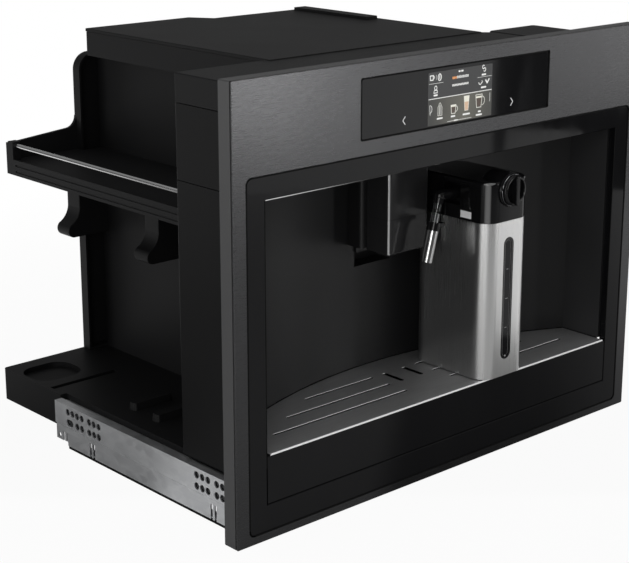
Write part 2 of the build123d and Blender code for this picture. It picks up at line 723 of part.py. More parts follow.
inlet_x, inlet_height = 95.0, 96.0
with BuildPart() as rear_panel:
    with BuildSketch(upright(body_depth - rear_panel_depth)):
        with Locations(((tower_right - rear_panel_left) / 2, (pan_top + rear_panel_top) / 2)):
            Rectangle(tower_right + rear_panel_left, rear_panel_top - pan_top)
        top_left = vertices().group_by(Axis.Y)[-1].sort_by(Axis.X)[0]
        fillet(top_left, rear_corner)
    extrude(amount=-rear_panel_depth)
    offset(amount=-2.5, openings=rear_panel.faces().sort_by(Axis.Y)[0])
    fillet(rear_panel.faces().sort_by(Axis.Y)[-1].edges(), edge_round)
    # Cooling slots, and the opening for the mains inlet.
    with BuildSketch(upright(body_depth - 4)):
        with Locations((0, 300)):
            with GridLocations(34, 12, 6, 8):
                SlotOverall(26, 4)
        with Locations((inlet_x, inlet_height)):
            Rectangle(28.4, 20.4)
    extrude(amount=-6, mode=Mode.SUBTRACT)

with BuildPart() as power_inlet:
    # Appliance inlet with three contact pins, set in the rear panel.
    block((inlet_x - 14, inlet_x + 14), (body_depth - 22, body_depth), (inlet_height - 10, inlet_height + 10))
    block((inlet_x - 12, inlet_x + 12), (body_depth - 16, body_depth + 1),
          (inlet_height - 8, inlet_height + 8), mode=Mode.SUBTRACT)
    for x, height in ((-7, 2), (0, -3), (7, 2)):
        block((inlet_x + x - 1, inlet_x + x + 1), (body_depth - 17, body_depth - 4),
              (inlet_height + height - 2.5, inlet_height + height + 2.5))

# ---------------------------------------------------------------- open bay on the left
post = 10.0
lip_top = 329.0              # height of the rear lip beside the rear panel
lip_curve = 14.0             # its hollow curve up to the panel
with BuildPart() as bay_shelf:
    shelf_back = body_depth - rear_panel_depth
    block((-shelf_left, -bay_wall_x), (housing_depth, shelf_back), (shelf_floor - shelf_thick, shelf_floor))
    block((-shelf_left, -rear_panel_left), (shelf_back, body_depth), (shelf_floor - shelf_thick, shelf_floor))
    block((-shelf_left, -shelf_left + 4), (housing_depth, body_depth), (apron_bottom, apron_top))
    # Rear lip that rises towards the rear panel.
    with BuildSketch(upright(body_depth - 4)):
        with BuildLine():
            Polyline((-rear_panel_left - lip_curve, lip_top), (-shelf_left + post, 323), (-shelf_left, 323),
                     (-shelf_left, apron_bottom), (-rear_panel_left, apron_bottom),
                     (-rear_panel_left, lip_top + lip_curve))
            RadiusArc((-rear_panel_left, lip_top + lip_curve), (-rear_panel_left - lip_curve, lip_top),
                      lip_curve)
        make_face()
    extrude(amount=-4)
    for front in (housing_depth, body_depth - post - 4):
        block((-shelf_left, -shelf_left + post), (front, front + post), (apron_bottom, rod_height + 4.5))
    # Two grooves along the apron, and the rod's seats.
    for height in (291.5, 298.5):
        block((-shelf_left - 1, -shelf_left + 1), (housing_depth - 1, body_depth - 18),
              (height - 1, height + 1), mode=Mode.SUBTRACT)
    round_bar((-shelf_left + 5, deep(housing_depth + 4), rod_height),
              (-shelf_left + 5, deep(body_depth - post), rod_height),
              rod_diameter + 2 * rod_clearance, mode=Mode.SUBTRACT)

with BuildPart() as bay_rod:
    round_bar((-shelf_left + 5, deep(housing_depth + 4.5), rod_height),
              (-shelf_left + 5, deep(body_depth - post - 0.5), rod_height), rod_diameter)


front_hook_depth = 286.0
rear_hook_depth = body_depth - hook_width
hook_top = shelf_floor - shelf_thick
with BuildPart() as shelf_hooks:
    # Two hook-shaped corbels under the shelf, one of them beside the rear panel.
    for front in (front_hook_depth, rear_hook_depth):
        with BuildSketch(upright(front)) as hook_profile:
            with BuildLine():
                Polyline((-hook_nose + 8, hook_bottom), (-bay_wall_x, hook_bottom), (-bay_wall_x, hook_top),
                         (-hook_stem, hook_top), (-hook_stem, hook_bottom + 34))
                hollow_curve = RadiusArc((-hook_stem, hook_bottom + 34), (-hook_nose + 3, hook_bottom + 15),
                                         24)
                RadiusArc(hollow_curve @ 1, (-hook_nose + 8, hook_bottom), -8.5)
            make_face()
        extrude(hook_profile.sketch, amount=-hook_width)
    visible_rims = shelf_hooks.edges().filter_by(GeomType.CIRCLE)
    fillet(visible_rims, 1.0)
    block((-rear_panel_left, -bay_wall_x + 1), (body_depth - rear_panel_depth, body_depth + 1),
          (hook_bottom - 1, hook_top + 1), mode=Mode.SUBTRACT)
    block((-hook_nose - 1, -rear_panel_left + 1), (body_depth - 4, body_depth + 1),
          (apron_bottom, hook_top + 1), mode=Mode.SUBTRACT)

# ---------------------------------------------------------------- coffee spout
carriage_back = arc_depth(carriage_width / 2) - 1.0
cover_top = niche_top - 1.5
with BuildPart() as spout_carriage:
    half = carriage_width / 2
    block((-half, half), (spout_back + slide_gap, carriage_back), (carriage_bottom, cover_top))
    fillet(spout_carriage.edges().filter_by(Axis.Z).group_by(Axis.Y)[0], 5)
    # Tongue in the trough behind, and the guide block that the spout's cover slides on.
    tongue = recess_width / 2 - slide_gap
    block((-tongue, tongue), (carriage_back - 1, niche_depth + recess_depth - slide_gap),
          (recess_bottom + carriage_travel + 2, cover_top))
    guide = spout_width / 2 - spout_wall - slide_gap
    guide_top = cover_top - spout_wall - (spout_travel - carriage_travel) - 2
    block((-guide, guide), (spout_front + 12, spout_back + slide_gap + 1), (spout_bottom + 14, guide_top))

with BuildPart() as spout_cover:
    block((-spout_width / 2, spout_width / 2), (spout_front, spout_back), (spout_bottom, cover_top))
    fillet(spout_cover.edges().filter_by(Axis.Z).group_by(Axis.Y)[0], 4)
    fillet(spout_cover.edges().group_by(Axis.Z)[0].group_by(Axis.Y)[0], 2)
    hollow = spout_width / 2 - spout_wall
    block((-hollow, hollow), (spout_front + spout_wall, spout_back + 1),
          (spout_bottom - 1, cover_top - spout_wall), mode=Mode.SUBTRACT)
    # Fine joint line round the front and sides.
    with BuildSketch(Plane.XY.offset(cover_joint)):
        with Locations((0, deep(spout_back))):
            Rectangle(spout_width + 2, 2 * (spout_back - spout_front) + 2)
            RectangleRounded(spout_width - 1.2, 2 * (spout_back - spout_front) - 1.2, 3.4, mode=Mode.SUBTRACT)
    extrude(amount=0.8, mode=Mode.SUBTRACT)

with BuildPart() as spout_nozzles:
    hollow = spout_width / 2 - spout_wall
    block((-hollow, hollow), (spout_front + spout_wall, spout_back - 2),
          (spout_bottom + 3, spout_bottom + 11))
    for side in (-1, 1):
        outlet = (side * 9.5, deep(spout_front + 16))
        round_bar((*outlet, spout_bottom + 0.5), (*outlet, spout_bottom + 4), 11)
        round_bar((*outlet, spout_bottom), (*outlet, spout_bottom + 12), 5, mode=Mode.SUBTRACT)

# ---------------------------------------------------------------- milk jug


def jug_plan(inset):
    """The jug's outline seen from above, drawn in by inset."""
    with Locations((jug_x, jug_y)):
        RectangleRounded(jug_width - 2 * inset, jug_length - 2 * inset, jug_corner - inset)


window_middle = (window_low + window_high) / 2
window_height = window_high - window_low
with BuildPart() as jug_shell:
    with BuildSketch(Plane.XY.offset(jug_bottom)):
        jug_plan(0)
    extrude(amount=shell_top - jug_bottom)
    with BuildSketch(Plane.XY.offset(jug_bottom + 1.5)):
        jug_plan(jug_wall)
    extrude(amount=shell_top, mode=Mode.SUBTRACT)
    with BuildSketch(upright(jug_front - 1)):
        with Locations((jug_x, window_middle)):
            SlotOverall(window_height, window_width, rotation=90)
    extrude(amount=-6, mode=Mode.SUBTRACT)

with BuildPart() as window_bezel:
    with BuildSketch(upright(jug_front + 0.3)):
        with Locations((jug_x, window_middle)):
            SlotOverall(window_height - 0.4, window_width - 0.4, rotation=90)
            SlotOverall(window_height - 2 * window_rim, window_width - 2 * window_rim, rotation=90,
                        mode=Mode.SUBTRACT)
    extrude(amount=-(jug_wall + flask_gap - 0.4))

with BuildPart() as jug_window:
    with BuildSketch(upright(jug_front + 0.9)):
        with Locations((jug_x, window_middle)):
            SlotOverall(window_height - 2 * window_rim - 0.2, window_width - 2 * window_rim - 0.2,
                        rotation=90)
    extrude(amount=-(jug_wall + flask_gap - 1.0))

with BuildPart() as jug_flask:
    inset = jug_wall + flask_gap
    with BuildSketch(Plane.XY.offset(jug_bottom + 1.5)):
        jug_plan(inset)
    extrude(amount=shell_top - jug_bottom - 3)
    with BuildSketch(Plane.XY.offset(jug_bottom + 1.5 + flask_wall)):
        jug_plan(inset + flask_wall)
    extrude(amount=shell_top, mode=Mode.SUBTRACT)

knob_seat = 2.0             # depth of the knob's back behind the panel's face, less the jug's
knob_back = jug_front + knob_seat - 0.3
lid_rim = shell_top + 0.3
arm_recess = (jug_left - 1, jug_left + 9)
spout_pin = 6.0
with BuildPart() as lid_hump:
    # Rounded hump behind the knob, joined to the lid below.
    round_bar((jug_x, deep(jug_front), knob_height), (jug_x, deep(jug_front + hump_length), knob_height),
              hump_diameter)
    fillet(lid_hump.edges().group_by(Axis.Y)[-1], 9)

with BuildPart() as jug_lid:
    with BuildSketch(Plane.XY.offset(lid_rim)):
        jug_plan(0)
    extrude(amount=lid_top - lid_rim)
    fillet(jug_lid.edges().group_by(Axis.Z)[-1], 3)
    add(lid_hump.part)
    # Plug that seals in the flask.
    with BuildSketch(Plane.XY.offset(shell_top - 10)):
        jug_plan(jug_wall + flask_gap + flask_wall + 0.4)
    extrude(amount=11)
    # Hollow inside, open below.
    with BuildSketch(Plane.XY.offset(shell_top - 11)):
        jug_plan(jug_wall + flask_gap + flask_wall + 3.4)
    extrude(amount=21, mode=Mode.SUBTRACT)
    # Seat and bore of the knob.
    round_bar((jug_x, deep(jug_front - 1), knob_height), (jug_x, deep(jug_front + knob_seat), knob_height),
              knob_diameter + 1.0, mode=Mode.SUBTRACT)
    round_bar((jug_x, deep(jug_front), knob_height), (jug_x, deep(jug_front + 22), knob_height),
              knob_shaft + 2 * fit_clearance, mode=Mode.SUBTRACT)
    # Socket for the steam outlet at the back.
    round_bar((jug_x, deep(jug_back + 1), nozzle_height),
              (jug_x, deep(jug_back - 14), nozzle_height), nozzle_diameter + 2,
              mode=Mode.SUBTRACT)
    # Recess and bore for the milk spout's arm on the left.
    block(arm_recess, (arm_depth - 12, arm_depth + 12), (arm_height - 12, arm_height + 12),
          mode=Mode.SUBTRACT)
    round_bar((jug_left, deep(arm_depth), arm_height), (jug_left + 22, deep(arm_depth), arm_height),
              spout_pin + 2 * fit_clearance, mode=Mode.SUBTRACT)

with BuildPart() as lid_plate:
    # Plain metal plate on the lid's left face.
    block((jug_left - 0.6, jug_left), (19.5, 34.5), (267, 274.5))

with BuildPart() as froth_knob:
    face = knob_grip - knob_proud
    round_bar((jug_x, deep(knob_back), knob_height), (jug_x, deep(face), knob_height), knob_diameter)
    fillet(froth_knob.edges().group_by(Axis.Y)[0], 1.2)
    # Dished face with the finger bar left standing across it.
    with BuildSketch(upright(face - 0.5)):
        with Locations((jug_x, knob_height)):
            Circle(knob_diameter / 2 - 2.5)
            Rectangle(5, knob_diameter, mode=Mode.SUBTRACT)
    extrude(amount=-5, mode=Mode.SUBTRACT)
    with BuildSketch(upright(face + 4)):
        with Locations((jug_x, knob_height)):
            SlotOverall(knob_diameter - 3, 5, rotation=90)
    extrude(amount=4 + knob_grip)
    round_bar((jug_x, deep(knob_back - 1), knob_height), (jug_x, deep(jug_front + 21), knob_height),
              knob_shaft)

lean = Vector(milk_tip_x - arm_x, 0, milk_tip_height - arm_height)
lean_length = lean.length


def on_tube(distance):
    """A point of the milk spout's line, so far down from the arm."""
    part = distance / lean_length
    return (arm_x + lean.X * part, deep(arm_depth), arm_height + lean.Z * part)


arm_point = (arm_x, deep(arm_depth), arm_height)
tube_start, collar_start, tip_start = 8.0, 29.0, 38.0
with BuildPart() as milk_spout_arm:
    # Elbow that turns on its pin in the lid.
    round_bar(arm_point, (jug_left + 6, deep(arm_depth), arm_height), arm_diameter)
    with Locations(arm_point):
        Sphere(arm_diameter / 2)
    round_bar(on_tube(0), on_tube(tube_start), tube_diameter + 3)
    round_bar((jug_left + 5, deep(arm_depth), arm_height), (jug_left + 20, deep(arm_depth), arm_height),
              spout_pin)

with BuildPart() as milk_spout_tube:
    round_bar(on_tube(tube_start), on_tube(collar_start), tube_diameter)
    round_bar(on_tube(tube_start - 1), on_tube(collar_start + 1), tube_bore, mode=Mode.SUBTRACT)

with BuildPart() as milk_spout_collar:
    # Collar with the small lug that it is swung by.
    round_bar(on_tube(collar_start), on_tube(tip_start), collar_diameter)
    lug_x, _, lug_height = on_tube((collar_start + tip_start) / 2)
    block((lug_x + tube_bore, lug_x + 15), (arm_depth - 3, arm_depth + 3),
          (lug_height - 1.8, lug_height + 1.8))
    round_bar(on_tube(collar_start - 1), on_tube(tip_start + 1), tube_bore, mode=Mode.SUBTRACT)

with BuildPart() as milk_spout_tip:
    round_bar(on_tube(tip_start), on_tube(lean_length), tip_diameter)
    round_bar(on_tube(tip_start - 1), on_tube(lean_length + 1), tip_diameter - 3, mode=Mode.SUBTRACT)

# ---------------------------------------------------------------- water tank and beans on the right
grinder_low = grinder_shelf + frame_sheet
with BuildPart() as water_tank:
    tank_top = tank_bottom + tank_height
    middle = ((tank_left + tank_right) / 2, deep(tank_front + tank_length / 2))
    with BuildSketch(Plane.XY.offset(tank_bottom)):
        with Locations(middle):
            RectangleRounded(tank_right - tank_left, tank_length, 10)
    extrude(amount=tank_height)
    offset(amount=-tank_wall, openings=water_tank.faces().sort_by(Axis.Z)[-1])

with BuildPart() as tank_lid:
    with BuildSketch(Plane.XY.offset(tank_top + 0.2)):
        with Locations(middle):
            RectangleRounded(tank_right - tank_left, tank_length, 10)
            with Locations((24, 0)):
                SlotOverall(60, 20, rotation=90, mode=Mode.SUBTRACT)
    extrude(amount=4)
    with BuildSketch(Plane.XY.offset(tank_top - 8)):
        with Locations(middle):
            RectangleRounded(tank_right - tank_left - 2 * tank_wall - 1, tank_length - 2 * tank_wall - 1, 7)
            RectangleRounded(tank_right - tank_left - 2 * tank_wall - 5, tank_length - 2 * tank_wall - 5, 5,
                             mode=Mode.SUBTRACT)
    extrude(amount=8.3)

with BuildPart() as side_box:
    # Closed box behind the tank, with the bean hopper let into its top.
    block((tower_right + 0.5, box_right), (box_front, body_depth), (pan_top + 0.4, box_top - lid_thick - 0.5))
    block((tower_right + 0.5 + wall, box_right - wall), (box_front + wall, body_depth - wall),
          (pan_top + 0.4 + wall, box_top), mode=Mode.SUBTRACT)
    round_bar(on_chute(tower_right - 10), on_chute(tower_right + wall + 10), chute_diameter + 2 * chute_gap,
              mode=Mode.SUBTRACT)

hopper_top = box_top - lid_thick - 0.5
hopper_front, hopper_back = box_front + 4, body_depth - 4
throat_low = grinder_low + grinder_height
throat_top = chute_height - 9


def hopper_plan(inset):
    """The hopper's mouth and its narrow foot, drawn in by inset, as two sketches to loft between."""
    mouth_middle = ((hopper_left + hopper_right) / 2, deep((hopper_front + hopper_back) / 2))
    with BuildSketch(Plane.XY.offset(hopper_top)) as mouth:
        with Locations(mouth_middle):
            Rectangle(hopper_right - hopper_left - 2 * inset, hopper_back - hopper_front - 2 * inset)
    with BuildSketch(Plane.XY.offset(hopper_top - hopper_depth + inset)) as foot:
        with Locations((chute_x, deep(chute_depth))):
            Rectangle(chute_diameter + 4 - 2 * inset, chute_diameter + 8 - 2 * inset)
    return [mouth.sketch, foot.sketch]


with BuildPart() as bean_hopper:
    # Funnel with a sloping chute that passes through the tower's wall and down to the grinder.
    loft(hopper_plan(0))
    round_bar(on_chute(chute_x), on_chute(grinder_x + 12), chute_diameter)
    round_bar((grinder_x, deep(chute_depth), throat_low), (grinder_x, deep(chute_depth), throat_top),
              throat_diameter)
    loft(hopper_plan(hopper_wall), mode=Mode.SUBTRACT)
    round_bar(on_chute(chute_x), on_chute(grinder_x + 4), chute_diameter - 2 * hopper_wall,
              mode=Mode.SUBTRACT)
    round_bar((grinder_x, deep(chute_depth), throat_low - 1),
              (grinder_x, deep(chute_depth), throat_top - hopper_wall), throat_diameter - 2 * hopper_wall,
              mode=Mode.SUBTRACT)

with BuildPart() as bean_lid:
    block((tower_right + 6, box_right), (box_front, body_depth), (box_top - lid_thick, box_top))
    fillet(bean_lid.edges().filter_by(Axis.Z), 4)
    chamfer(bean_lid.faces().sort_by(Axis.Z)[-1].edges(), 1)
    block((box_right - 4, box_right + 1), (345, 385), (box_top - lid_thick - 1, box_top - lid_thick + 2),
          mode=Mode.SUBTRACT)

# ---------------------------------------------------------------- machinery
inner_left, inner_right = -bay_wall_x + wall, tower_right - wall
with BuildPart() as inner_frame:
    # Folded sheet frame between the tower's walls: a floor over the grounds box, a bulkhead and two shelves.
    block((inner_left, inner_right), (housing_depth + 30, bulkhead_depth + frame_sheet),
          (floor_height, floor_height + frame_sheet))
    block((inner_left, inner_right), (bulkhead_depth, bulkhead_depth + frame_sheet),
          (pan_bottom + pan_floor, grinder_shelf + 60))
    block((inner_left, -30), (bulkhead_depth, 430), (boiler_shelf, boiler_shelf + frame_sheet))
    block((25, inner_right), (bulkhead_depth, 405), (grinder_shelf, grinder_shelf + frame_sheet))
    # Outlet for the grounds under the brewing unit, and a passage for the pump.
    block((-50, 10), (172, 238), (floor_height - 1, floor_height + frame_sheet + 1), mode=Mode.SUBTRACT)
    round_bar((-100, deep(bulkhead_depth - 1), 60), (-100, deep(bulkhead_depth + frame_sheet + 1), 60), 20,
              mode=Mode.SUBTRACT)

with BuildPart() as boiler:
    boiler_x, boiler_depth, boiler_low = -78.0, 372.0, boiler_shelf + frame_sheet
    round_bar((boiler_x, deep(boiler_depth), boiler_low),
              (boiler_x, deep(boiler_depth), boiler_low + boiler_length), boiler_diameter)
    fillet(boiler.edges().filter_by(GeomType.CIRCLE), 6)
    for angle in (30, 150, 270):
        x, y = boiler_x + 25 * cos(radians(angle)), deep(boiler_depth) + 25 * sin(radians(angle))
        round_bar((x, y, boiler_low + boiler_length - 1), (x, y, boiler_low + boiler_length + 9), 8)

with BuildPart() as pump:
    round_bar((-100, deep(300), 60), (-100, deep(380), 60), 34)
    round_bar((-100, deep(282), 60), (-100, deep(300), 60), 16)
    round_bar((-100, deep(380), 60), (-100, deep(394), 60), 10)
    block((-122, -78), (318, 362), (40, 80))
    for depth in (322, 354):
        block((-110, -90), (depth, depth + 4), (pan_bottom + pan_floor, 41))

with BuildPart() as brew_frame:
    # Frame of the brewing unit, open on its left and right.
    half = chamber_diameter / 2 + 14
    block((brew_x - half, brew_x + half), (brew_depth - 40, brew_depth + 40), (brew_bottom, brew_top))
    block((brew_x - half - 1, brew_x + half + 1), (brew_depth - 32, brew_depth + 32),
          (brew_bottom + 8, brew_top - 8), mode=Mode.SUBTRACT)
    round_bar((brew_x, deep(brew_depth), brew_bottom - 1), (brew_x, deep(brew_depth), brew_bottom + 9),
              spindle_diameter + 2 * fit_clearance, mode=Mode.SUBTRACT)

chamber_low = brew_bottom + 110
with BuildPart() as brew_chamber:
    block((brew_x - 30, brew_x + 30), (brew_depth - 32, brew_depth + 32), (chamber_low, chamber_low + 60))
    round_bar((brew_x, deep(brew_depth), chamber_low - 1), (brew_x, deep(brew_depth), chamber_low + 61),
              chamber_diameter, mode=Mode.SUBTRACT)

piston_low = chamber_low + 2
with BuildPart() as brew_piston:
    round_bar((brew_x, deep(brew_depth), piston_low), (brew_x, deep(brew_depth), piston_low + 14),
              chamber_diameter - 0.8)
    round_bar((brew_x, deep(brew_depth), piston_low - 40), (brew_x, deep(brew_depth), piston_low), 20)
    round_bar((brew_x, deep(brew_depth), piston_low - 41), (brew_x, deep(brew_depth), piston_low - 1),
              spindle_diameter + 0.6, mode=Mode.SUBTRACT)


def on_grinder(height):
    """The point of the grinder's axis at a height over its shelf."""
    return (grinder_x, deep(grinder_depth), grinder_low + height)


with BuildPart() as grinder_body:
    # Motor housing with the burr's pocket and the bore of its shaft.
    round_bar(on_grinder(0), on_grinder(grinder_height), grinder_diameter)
    round_bar(on_grinder(60), on_grinder(grinder_height + 1), burr_diameter + 4, mode=Mode.SUBTRACT)
    round_bar(on_grinder(40), on_grinder(61), burr_shaft + 2 * fit_clearance, mode=Mode.SUBTRACT)

with BuildPart() as grinder_burr:
    # Toothed burr on its short shaft.
    round_bar(on_grinder(62), on_grinder(72), burr_diameter)
    with BuildSketch(Plane.XY.offset(grinder_low + 69)):
        with Locations((grinder_x, deep(grinder_depth))):
            with PolarLocations(burr_diameter / 2 - 6, 24):
                Rectangle(14, 2.2, rotation=28)
    extrude(amount=4, mode=Mode.SUBTRACT)
    round_bar(on_grinder(42), on_grinder(63), burr_shaft)

board_x = -bay_wall_x + wall + 6
with BuildPart() as power_board:
    # Board on four posts, with its parts on the side away from the wall.
    block((board_x, board_x + 1.6), (180, 330), (235, 405))
    chips = ((200, 245, 26), (250, 250, 34), (205, 290, 22), (260, 320, 40), (200, 350, 30))
    for depth, height, size in chips:
        block((board_x + 1.6, board_x + 1.6 + size / 2), (depth, depth + size), (height, height + size))
    for depth in (184, 326):
        for height in (239, 401):
            round_bar((-bay_wall_x + wall, deep(depth), height), (board_x, deep(depth), height), 5)

# ---------------------------------------------------------------- write every piece
pieces = {
    "rail_outer_left": rail_outer_left,
    "rail_outer_right": rail_outer_right,
    "rail_middle_left": rail_middle_left,
    "rail_middle_right": rail_middle_right,
    "rail_inner_left": rail_inner_left,
    "rail_inner_right": rail_inner_right,
    "rail_screws": rail_screws,
    "base_pan": base_pan,
    "front_skin": front_skin,
    "panel_carrier": panel_carrier,
    "glass_frame": glass_frame,
    "display_glass": display_glass,
    "control_board": control_board,
    "niche_liner": niche_liner,
    "milk_connector": milk_connector,
    "drawer_front": drawer_front,
    "drip_basin": drip_basin,
    "drip_grid": drip_grid,
    "grounds_box": grounds_box,
    "side_cover_left": side_cover_left,
    "side_cover_right": side_cover_right,
    "head_housing": head_housing,
    "top_cover": top_cover,
    "top_cap_right": top_cap_right,
    "bay_wall": bay_wall,
    "tower_right_wall": tower_right_wall,
    "tower_head": tower_head,
    "rear_panel": rear_panel,
    "power_inlet": power_inlet,
    "bay_shelf": bay_shelf,
    "bay_rod": bay_rod,
    "shelf_hooks": shelf_hooks,
    "spout_carriage": spout_carriage,
    "spout_cover": spout_cover,
    "spout_nozzles": spout_nozzles,
    "jug_shell": jug_shell,
    "window_bezel": window_bezel,
    "jug_window": jug_window,
    "jug_flask": jug_flask,
    "jug_lid": jug_lid,
    "lid_plate": lid_plate,
    "froth_knob": froth_knob,
    "milk_spout_arm": milk_spout_arm,
    "milk_spout_tube": milk_spout_tube,
    "milk_spout_collar": milk_spout_collar,
    "milk_spout_tip": milk_spout_tip,
    "water_tank": water_tank,
    "tank_lid": tank_lid,
    "side_box": side_box,
    "bean_hopper": bean_hopper,
    "bean_lid": bean_lid,
    "inner_frame": inner_frame,
    "boiler": boiler,
    "pump": pump,
    "brew_frame": brew_frame,
    "brew_chamber": brew_chamber,
    "brew_piston": brew_piston,
    "grinder_body": grinder_body,
    "grinder_burr": grinder_burr,
    "power_board": power_board,
}
os.makedirs("parts", exist_ok=True)
for name, piece in pieces.items():
    piece.part.label = name
    export_step(piece.part, f"parts/{name}.step")
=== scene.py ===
import json
import math

import bmesh
import bpy
from bpy.props import FloatProperty, FloatVectorProperty, IntProperty, PointerProperty
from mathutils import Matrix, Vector


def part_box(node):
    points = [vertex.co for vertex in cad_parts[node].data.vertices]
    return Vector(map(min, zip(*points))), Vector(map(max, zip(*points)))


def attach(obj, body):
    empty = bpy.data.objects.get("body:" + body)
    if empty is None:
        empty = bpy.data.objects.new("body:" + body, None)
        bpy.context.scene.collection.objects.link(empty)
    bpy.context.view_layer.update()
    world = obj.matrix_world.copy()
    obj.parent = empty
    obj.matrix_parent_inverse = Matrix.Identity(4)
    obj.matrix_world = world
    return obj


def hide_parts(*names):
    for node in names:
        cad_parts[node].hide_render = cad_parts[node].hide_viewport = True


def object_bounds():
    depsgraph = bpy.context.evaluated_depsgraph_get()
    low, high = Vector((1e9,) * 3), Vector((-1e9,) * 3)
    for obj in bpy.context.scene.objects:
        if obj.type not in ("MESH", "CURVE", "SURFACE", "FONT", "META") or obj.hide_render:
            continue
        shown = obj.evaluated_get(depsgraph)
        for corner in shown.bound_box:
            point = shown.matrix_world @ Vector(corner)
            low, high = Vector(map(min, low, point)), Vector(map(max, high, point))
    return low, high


bl_info = {
    "name": "Built-in coffee machine looks",
    "version": (1, 0, 0),
    "blender": (4, 5, 0),
    "location": "View3D > Sidebar > Coffee machine",
    "description": "Finishes, screen, froth knob and small fittings of a built-in coffee machine",
    "category": "Object",
}

# Metres throughout. The front panel looks along -Y and its lower edge is at Z = 0.
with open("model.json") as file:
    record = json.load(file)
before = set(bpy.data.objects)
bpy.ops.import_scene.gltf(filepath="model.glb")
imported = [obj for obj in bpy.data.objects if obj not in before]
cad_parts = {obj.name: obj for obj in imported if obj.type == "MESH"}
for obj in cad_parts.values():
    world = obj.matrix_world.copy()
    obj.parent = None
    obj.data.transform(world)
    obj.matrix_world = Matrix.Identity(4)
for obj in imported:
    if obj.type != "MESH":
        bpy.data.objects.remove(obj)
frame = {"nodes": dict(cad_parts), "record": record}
CAD_LOW, CAD_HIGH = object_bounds()

# The lowest and highest corners of the nodes that pieces are fitted to.
PANEL_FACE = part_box("front_skin")[0].y
GLASS_LOW, GLASS_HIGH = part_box("display_glass")
FRAME_LOW, FRAME_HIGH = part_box("glass_frame")
KNOB_LOW, KNOB_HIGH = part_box("froth_knob")
GRID_LOW, GRID_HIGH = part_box("drip_grid")
WINDOW_LOW, WINDOW_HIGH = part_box("jug_window")
BEZEL_LOW, BEZEL_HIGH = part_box("window_bezel")
REAR_LOW, REAR_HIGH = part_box("rear_panel")

# The niche's opening in the glass frame: half its width, its top, and the top of the drawer's front.
NICHE_HALF, NICHE_TOP, DRAWER_TOP = 0.2602, 0.3400, 0.0755
# The grid's long slots: how far each row is in front of the niche's back, and its outer end.
SLOT_ROWS = ((0.0900, 0.222), (0.0640, 0.182), (0.0375, 0.132))
# A print or a thin line stands this far off the face that it is on.
PRINT_THICK = 0.00006
TINY = 1e-7

# The sockets of a Mix node that is set to colour.
MIX_MASK, MIX_FIRST, MIX_SECOND, MIX_RESULT = 0, 6, 7, 2


# ---------------------------------------------------------------- shader maths
class Wire:
    """An output of a shader node. Sums and products of wires and numbers add Math nodes."""

    def __init__(self, finish, socket):
        self.finish = finish
        self.socket = socket

    def maths(self, operation, *values):
        return self.finish.node("ShaderNodeMath", {"operation": operation}, dict(enumerate(values)))

    def __add__(self, other):
        return self.maths("ADD", self, other)

    def __radd__(self, other):
        return self.maths("ADD", other, self)

    def __sub__(self, other):
        return self.maths("SUBTRACT", self, other)

    def __rsub__(self, other):
        return self.maths("SUBTRACT", other, self)

    def __mul__(self, other):
        return self.maths("MULTIPLY", self, other)

    def __rmul__(self, other):
        return self.maths("MULTIPLY", other, self)

    def __truediv__(self, other):
        return self.maths("DIVIDE", self, other)

    def __abs__(self):
        return self.maths("ABSOLUTE", self)


class Nodes:
    """The nodes of a material or of the world."""

    def __init__(self, tree):
        self.tree = tree

    def node(self, kind, settings, values, output=0):
        """A node of this kind, its settings made first, and then the values or wires of its inputs."""
        node = self.tree.nodes.new(kind)
        for name, value in settings.items():
            if name == "stops":
                set_stops(node.color_ramp, value)
            else:
                setattr(node, name, value)
        for key, value in values.items():
            if isinstance(value, Wire):
                self.tree.links.new(value.socket, node.inputs[key])
            else:
                node.inputs[key].default_value = value
        return Wire(self, node.outputs[output])

    def part(self, vector, axis):
        """The X, Y or Z of a vector."""
        return self.node("ShaderNodeSeparateXYZ", {}, {"Vector": vector}, axis)

    def between(self, mask, first, second):
        """A colour that goes from the first to the second as the mask goes from 0 to 1."""
        return self.node("ShaderNodeMix", {"data_type": "RGBA"},
                         {MIX_MASK: mask, MIX_FIRST: shade(first), MIX_SECOND: shade(second)}, MIX_RESULT)

    def ramp(self, mask, *stops):
        """A colour read from stops of position and colour."""
        return self.node("ShaderNodeValToRGB", {"stops": stops}, {"Fac": mask})

    def steps(self, mask, low, high):
        """The mask spread from 0 at low to 1 at high, and held there outside them."""
        return self.node("ShaderNodeMapRange", {"interpolation_type": "SMOOTHSTEP"},
                         {"Value": mask, "From Min": low, "From Max": high})

    def seen_by(self, *rays):
        """1 for these kinds of ray."""
        found = [self.node("ShaderNodeLightPath", {}, {}, f"Is {ray} Ray") for ray in rays]
        return sum(found[1:], found[0])


